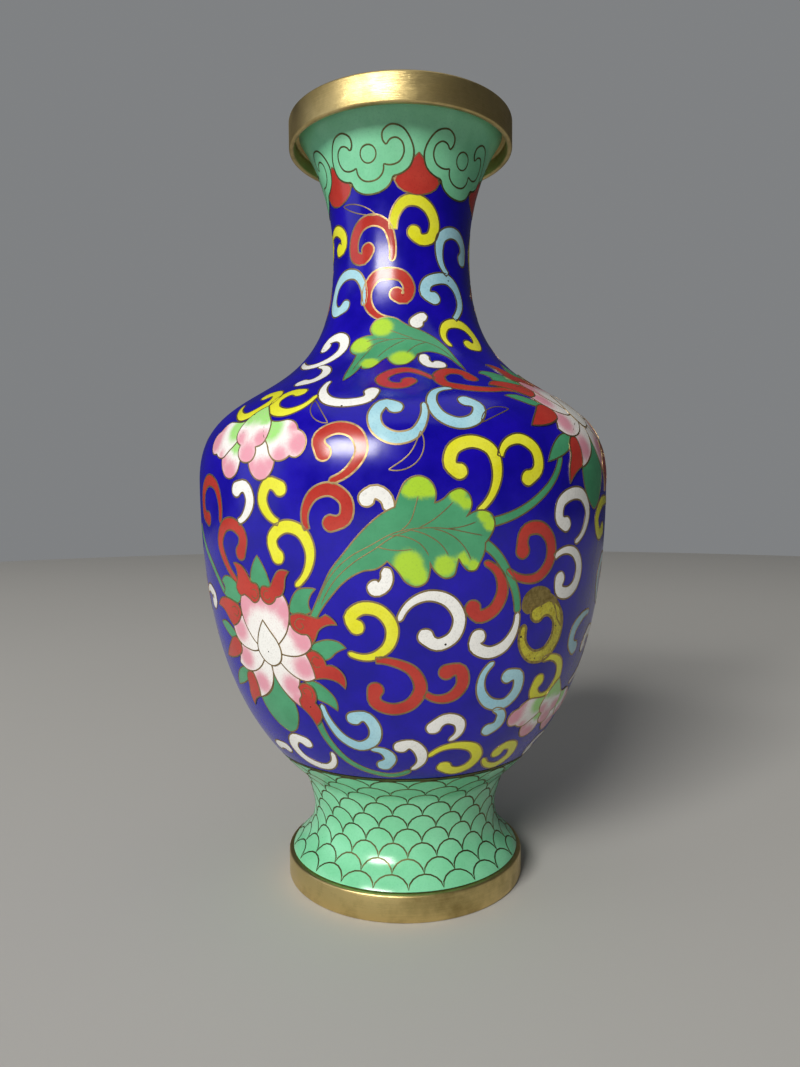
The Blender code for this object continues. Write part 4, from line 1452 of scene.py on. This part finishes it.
@dataclass
class Foliage:
    """The acanthus leaves and the stems that join the sprays."""

    wall: Wall
    big: Spray = Spray(0.0, 98.0)
    small: Spray = Spray(0.0, 155.0)
    stem_wire_mm: float = 0.17
    leaf_wire_mm: float = 0.18
    vein_mm: float = 0.11

    STEMS = (
        (((-26, 54), (-24, 47), (-19.5, 41.5), (-12, 38), (-4, 37), (1.8, 39)), 0.95),
        (((19, 100.2), (27, 102.3), (33, 105.5), (38, 109.8), (40.8, 115)), 1.0),
        (((15, 97.5), (21, 94), (25, 89), (27.6, 84), (28.3, 80)), 1.15),
        (((-72, 99), (-66, 93.5), (-60, 89), (-54, 83)), 0.95),
    )
    BIG_LEAF = Figure((
        ((-22.4, -20.6), (-20.4, -16.6), (-18, -11.6), (-16.2, -8), (-13, -4), (-10, -0.4), (-7, 2.6),
         (-4.4, 4.6), (-1.9, 5.8)),
        ((-1.9, 5.8), (-1.0, 8.6), (0.4, 11.2), (3, 12.3), (5.5, 11.3), (6.7, 9), (6.4, 6.6)),
        ((6.4, 6.6), (8.2, 7.4), (10, 9), (12, 9.6), (13.7, 8.6), (14.5, 6.4), (13.2, 3.6)),
        ((13.2, 3.6), (15, 4.7), (17, 5), (19, 4.2), (19.8, 2), (19, -0.2), (17.6, -2)),
        ((17.6, -2), (17.4, -4), (16.4, -6.2), (15.4, -7.8), (13.8, -7.9), (12.5, -6.7), (11.6, -5.2)),
        ((11.6, -5.2), (11.2, -7), (10.6, -8.8), (8.8, -9.4), (6.8, -8.2), (5.4, -5.8)),
        ((5.4, -5.8), (5.4, -8), (4.6, -10.2), (2.6, -11.1), (0.4, -10.2), (-1.4, -7.8), (-3.6, -5.6)),
        ((-3.6, -5.6), (-6, -7.3), (-8.6, -7.7), (-11, -8.8), (-13.4, -10.6), (-15.6, -13), (-18.6, -17),
         (-20.6, -21)),
        ((-20.6, -21), (-22.4, -20.6)),
    ), 1, (
        (3.2, 10.2, 3.6, 1.0), (0.9, 9.2, 2.2, 0.9), (5.5, 9.2, 2.2, 0.9), (11.4, 8.4, 2.8, 0.9),
        (13.3, 6.4, 2.0, 0.9), (17.2, 4, 2.3, 0.9), (18.7, 1.8, 2.0, 0.9), (0.9, -6.4, 4.4, 1.0),
        (2.8, -8.8, 3.0, 1.0), (8.6, -6.7, 3.2, 1.0), (12.6, -5.2, 2.0, 0.9), (15, -6.9, 2.0, 0.9),
    ))
    SMALL_LEAF = Figure((
        ((15.4, -10.6), (13.6, -5.6), (11, -0.4), (8, 2.8), (4.6, 5), (1.6, 6.4), (-0.8, 8.2)),
        ((-0.8, 8.2), (-2.6, 9), (-4.6, 9), (-6.8, 8), (-7.9, 6), (-7.2, 3.6)),
        ((-7.2, 3.6), (-9.6, 3.4), (-12, 2.2), (-13.2, 0), (-12.8, -2.2), (-11.4, -3.4)),
        ((-11.4, -3.4), (-12, -6), (-12.8, -9), (-13.6, -12.4), (-13.9, -16.4)),
        ((-13.9, -16.4), (-12.2, -14), (-10.7, -11), (-9.8, -8.6)),
        ((-9.8, -8.6), (-9.3, -10.2), (-7.8, -10.1), (-6, -8.2), (-4.8, -6.2), (-3.6, -5)),
        ((-3.6, -5), (-3, -7), (-1.4, -8.7), (0.6, -8.4), (2.4, -6.4), (3.6, -3.6)),
        ((3.6, -3.6), (6.2, -2.6), (9, -3.2), (11.4, -4.8), (13.4, -7.6), (15.4, -10.6)),
    ), 1, (
        (-5, 6, 3.9, 1.0), (-10.3, 0.3, 3.9, 1.0), (-7.7, -7.6, 3.2, 1.0), (0, -5.6, 4.2, 1.0),
    ))
    BIG_VEINS = (
        ((-19, -15), (-16.6, -9.8), (-12, -5), (-7, -2.2), (-2, 0.4), (4, 1.4), (9, 1.2), (14, 0.2),
         (17, -0.4)),
        ((-18.4, -15.6), (-15, -9.8), (-10.6, -5.8), (-6, -2.9), (-2.6, -0.6), (2, 1.1)),
        ((-0.8, 0.8), (1.4, 3), (2.3, 5.6), (3, 8.2)),
        ((3, 1.4), (6, 3), (8.2, 4.7), (10.4, 6.8)),
        ((8.6, 1.2), (12, 1.5), (15.6, 2.6)),
        ((-6, -2.4), (-2, -3.3), (2, -3)),
        ((-3, -0.2), (0.8, -0.6), (3.4, -2), (5.2, -4.6)),
        ((1, 1), (5, -0.2), (8, -2.4), (9.4, -4.6)),
        ((6, 1.2), (10, -0.2), (13, -3), (14.4, -5.8)),
    )
    SMALL_VEINS = (
        ((13, -6), (9, -0.8), (4, 1.6), (-2, 2), (-6, 0.8), (-9, -1.6)),
        ((3, 2), (-0.6, 3.8), (-3, 5)),
        ((-3, 1.8), (-6.4, 2.2), (-9, 1.4)),
        ((1, 1.8), (-3, -1), (-6, -5)),
        ((6, 1), (3, -0.6), (1, -3.4)),
        ((-7, 0), (-9.8, -5), (-12, -11)),
    )

    def build(self) -> None:
        """The leaves, the stems, and their wires."""
        stems, leaves, wires = Inlay(self.wall), Inlay(self.wall), Inlay(self.wall)
        for path, width in self.STEMS:
            wires.outline(stems.fill(Cell(path, Form.STEM, width)), 0, self.stem_wire_mm)
        for spray, figure, veins in (
            (self.big, self.BIG_LEAF, self.BIG_VEINS), (self.small, self.SMALL_LEAF, self.SMALL_VEINS),
        ):
            wires.wire(leaves.shape(spray, figure), True, figure.layer, self.leaf_wire_mm)
            for vein in veins:
                line = smooth(self.wall, spray.path(self.wall, vein), 5)
                wires.wire(line, False, figure.layer, self.vein_mm)
        stems.piece("stems", Glaze.LEAF)
        leaves.piece("acanthus_leaves", Glaze.LOBE)
        wires.piece("leaf_wires", Metal.GILT_WIRE)


@dataclass
class Collar:
    """The ruyi heads round the collar, and the red fans between them.

    Points are degrees from a head's centre and millimetres up the wall.
    """

    wall: Wall
    centres: tuple[float, ...] = (-88.0, -22.0, 46.0, 120.0, 196.0)

    OUTER = ((13, 206.3), (10.9, 207.2), (10.7, 209), (15.5, 210.6), (22, 210.2), (27.6, 207.8),
             (30.5, 204.4), (28, 201.4), (22, 199.8), (16.2, 199.3))
    BOTTOM = ((-16.2, 199.3), (-14, 197.5), (-8, 196), (0, 195.5), (8, 196), (14, 197.5), (16.2, 199.3))
    INNER = ((13, 206.3), (15.5, 207.5), (18.8, 207.8), (22.6, 206.9), (24, 204.5), (21, 202.5),
             (15.6, 201.8), (10, 202.2))
    INNER_BOTTOM = ((-10, 202.2), (-9.2, 200.2), (-5.4, 198.9), (0, 198.5), (5.4, 198.9), (9.2, 200.2),
                    (10, 202.2))
    EYE_MM = 2.1
    EYE_CLIMB = 204.8
    EYE_STEP = 15
    EYE_WIRE_MM = 0.18
    HEAD_LAYER = 2
    HEAD_REACH = 17.0
    FAN_CLIMBS = (204.6, 195.0)
    FAN_WIDTH_CLIMB = 199.0

    def build(self) -> None:
        """Every head and fan, with their wires."""
        glass, fans = Inlay(self.wall, 1), Inlay(self.wall, 1)
        wires, fan_wires = Inlay(self.wall, 1), Inlay(self.wall, 1)
        for centre in self.centres:
            parts = [self.around(centre, path, side) for path, side in (
                (self.OUTER, 1.0), (self.BOTTOM, -1.0), (self.OUTER[::-1], -1.0))]
            ring = np.concatenate([*(part[:-1] for part in parts), parts[-1][-1:]])
            glass.sheet(Spray(centre, self.EYE_CLIMB), ring, Figure((), self.HEAD_LAYER))
            for side in (-1.0, 1.0):
                for path in (self.OUTER, self.INNER):
                    wires.wire(self.around(centre, path, side), False, self.HEAD_LAYER, Inlay.OUTLINE_MM)
            for path in (self.BOTTOM, self.INNER_BOTTOM):
                wires.wire(self.around(centre, path, 1.0), False, self.HEAD_LAYER, Inlay.OUTLINE_MM)
            angle = np.radians(np.arange(0, FULL_TURN, self.EYE_STEP))
            scale = float(self.wall.per_degree(self.EYE_CLIMB))
            eye = np.stack([
                centre + self.EYE_MM / scale * np.cos(angle),
                self.EYE_CLIMB + self.EYE_MM * np.sin(angle),
            ], axis=1)
            wires.wire(eye, True, self.HEAD_LAYER, self.EYE_WIRE_MM)
        for first, second in zip(self.centres, (*self.centres[1:], self.centres[0] + FULL_TURN)):
            middle = (first + second) / 2
            half = (second - first) / 2 - self.HEAD_REACH
            width = half * float(self.wall.per_degree(self.FAN_WIDTH_CLIMB))
            fan = Cell([(middle, climb) for climb in self.FAN_CLIMBS], Form.FAN, width, 1)
            fan_wires.outline(fans.fill(fan), 1, Inlay.WIRE_MM)
        glass.piece("ruyi_heads", Glaze.CELADON)
        fans.piece("collar_fans", Glaze.RED)
        wires.piece("ruyi_wires", Metal.DARK_WIRE)
        fan_wires.piece("fan_wires", Metal.GILT_WIRE)

    def around(self, centre: float, path: Path, side: float) -> np.ndarray:
        """A smooth line about a head's centre, turned to one side of it."""
        return smooth(self.wall, [(centre + side * turn, climb) for turn, climb in path], 6)


@dataclass
class FishScales:
    """The wires of the scale pattern on the foot."""

    wall: Wall
    around: int = 22
    rows: int = 9
    first_turn: float = -7.0
    pitch_mm: float = 3.72
    arch_steps: int = 9
    first_mm: float = 0.4
    wire_mm: float = 0.2

    def build(self) -> None:
        """Every arch, row by row, each standing on the crests of the row below."""
        wires = Inlay(self.wall, 1)
        width = FULL_TURN / self.around
        for row in range(self.rows):
            base = row * self.pitch_mm + self.first_mm
            for number in range(self.around):
                middle = self.first_turn + (number + 0.5 * (row % 2)) * width
                angle = np.linspace(0.0, math.pi, self.arch_steps)
                arch = np.stack([
                    middle - width / 2 * np.cos(angle), base + self.pitch_mm * np.sin(angle)], axis=1)
                wires.wire(arch, False, 0, self.wire_mm)
        wires.piece("scale_wires", Metal.DARK_WIRE)


def dress_frame() -> None:
    """Gives the copper sections and their brazed seams a finish."""
    for nodes, finish in (
        (("neck_copper", "shoulder_copper", "belly_copper", "foot_copper"), Metal.COPPER),
        (("neck_braze", "belly_braze", "foot_braze"), Metal.BRAZE),
    ):
        for node in nodes:
            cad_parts[node].data.materials.clear()
            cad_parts[node].data.materials.append(finish_of(finish))
            log.info("%s: from the frame, %s", node, finish.value.name)


@dataclass
class Studio:
    """Camera, lights and floor."""

    camera_place: tuple[float, float, float] = (-0.00085, -0.2195, 0.1047)
    tilt_degrees: float = 2.98
    roll_degrees: float = -0.39
    lens_mm: float = 26.76
    floor_radius: float = 1.2
    floor_drift_mm: float = 300.0
    surround_light: float = 0.05
    surround_seen: float = 0.27
    lamp_aim: float = 0.11

    def camera(self) -> None:
        """The camera, level with the belly and tipped down a little."""
        data = bpy.data.cameras.new("camera")
        data.lens = self.lens_mm
        data.clip_start = 0.01
        made = bpy.data.objects.new("camera", data)
        turn = Euler((math.radians(90.0 - self.tilt_degrees), 0.0, 0.0)).to_matrix().to_4x4()
        roll = Matrix.Rotation(math.radians(self.roll_degrees), 4, "Z")
        made.matrix_world = Matrix.Translation(self.camera_place) @ turn @ roll
        bpy.context.scene.collection.objects.link(made)
        bpy.context.scene.camera = made

    def lamp(self, name: str, azimuth: float, height: float, distance: float, size: Place, power: float,
             colour: str = "#FFFFFF") -> None:
        """A soft rectangular lamp that faces the vase.

        Args:
            name: Its name.
            azimuth: Degrees round from the camera's side, rising towards +X.
            height: Degrees above the middle of the vase.
            distance: Metres from it.
            size: Width and height in metres.
            power: Watts.
            colour: sRGB hex value.
        """
        data = bpy.data.lights.new(name, "AREA")
        data.shape = "RECTANGLE"
        data.size, data.size_y = size
        data.energy = power
        data.color = linear(colour)[:3]
        made = bpy.data.objects.new(name, data)
        across, up = math.radians(azimuth), math.radians(height)
        aim = Vector((math.sin(across) * math.cos(up), -math.cos(across) * math.cos(up), math.sin(up)))
        turn = aim.to_track_quat("Z", "Y").to_matrix().to_4x4()
        made.matrix_world = Matrix.Translation(Vector((0, 0, self.lamp_aim)) + aim * distance) @ turn
        bpy.context.scene.collection.objects.link(made)

    def floor(self) -> None:
        """A plain pale matt floor under the vase."""
        mesh_data = bmesh.new()
        bmesh.ops.create_circle(mesh_data, cap_ends=True, segments=96, radius=self.floor_radius)
        mesh = bpy.data.meshes.new("floor")
        mesh_data.to_mesh(mesh)
        mesh_data.free()
        made, tree, shader = new_material("pale_matt_floor")
        spot = add_node(tree, "ShaderNodeTexCoord").outputs["Object"]
        tone = mixed(tree, noise(tree, spot, self.floor_drift_mm), linear("#BCBBB8"), linear("#C0BFBC"))
        feed_shader(tree, shader, Base_Color=tone)
        shader.inputs["Roughness"].default_value = 0.9
        mesh.materials.append(made)
        piece = bpy.data.objects.new("floor", mesh)
        bpy.context.scene.collection.objects.link(piece)

    def light(self) -> None:
        """A window from the left of the camera, a weak fill beside it and a pale surround."""
        self.lamp("window", -29.0, 29.0, 3.0, (1.3, 0.85), 94.0, "#FFFCF6")
        self.lamp("fill", -82.0, 12.0, 2.5, (1.4, 1.4), 5.0, "#EAF0FF")
        self.lamp("ceiling", 0.0, 89.0, 3.0, (3.0, 3.0), 13.0)
        world = bpy.data.worlds.new("surround")
        world.use_nodes = True
        tree = world.node_tree
        seen = add_node(tree, "ShaderNodeLightPath").outputs["Is Camera Ray"]
        strength = ranged(tree, seen, 0.0, 1.0, self.surround_light, self.surround_seen)
        background = tree.nodes["Background"]
        background.inputs["Color"].default_value = linear("#E6E9EC")
        tree.links.new(strength, background.inputs["Strength"])
        bpy.context.scene.world = world
        bpy.context.scene.view_settings.view_transform = "Standard"


def main() -> None:
    """Builds the vase piece by piece, then the stage round it."""
    logging.basicConfig(level=logging.INFO, format="%(message)s")
    wall = Wall(
        top=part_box("collar_enamel")[1].z, bottom=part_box("foot_enamel")[0].z,
        lip_radius=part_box("collar_enamel")[1].x, belly_radius=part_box("ground_enamel")[1].x,
    )
    log.info("wall: %.1f mm from foot to lip", wall.climbs[-1])
    rings = BrassRings(wall)
    rings.rim()
    rings.foot()
    skins = Skins(wall)
    skins.build()
    skins.base()
    scrolls = Scrolls(wall)
    scrolls.build()
    scrolls.worn_scroll()
    Flowers(wall).build()
    Foliage(wall).build()
    Collar(wall).build()
    FishScales(wall).build()
    dress_frame()
    studio = Studio()
    studio.camera()
    studio.light()
    studio.floor()


if __name__ == "__main__":
    main()
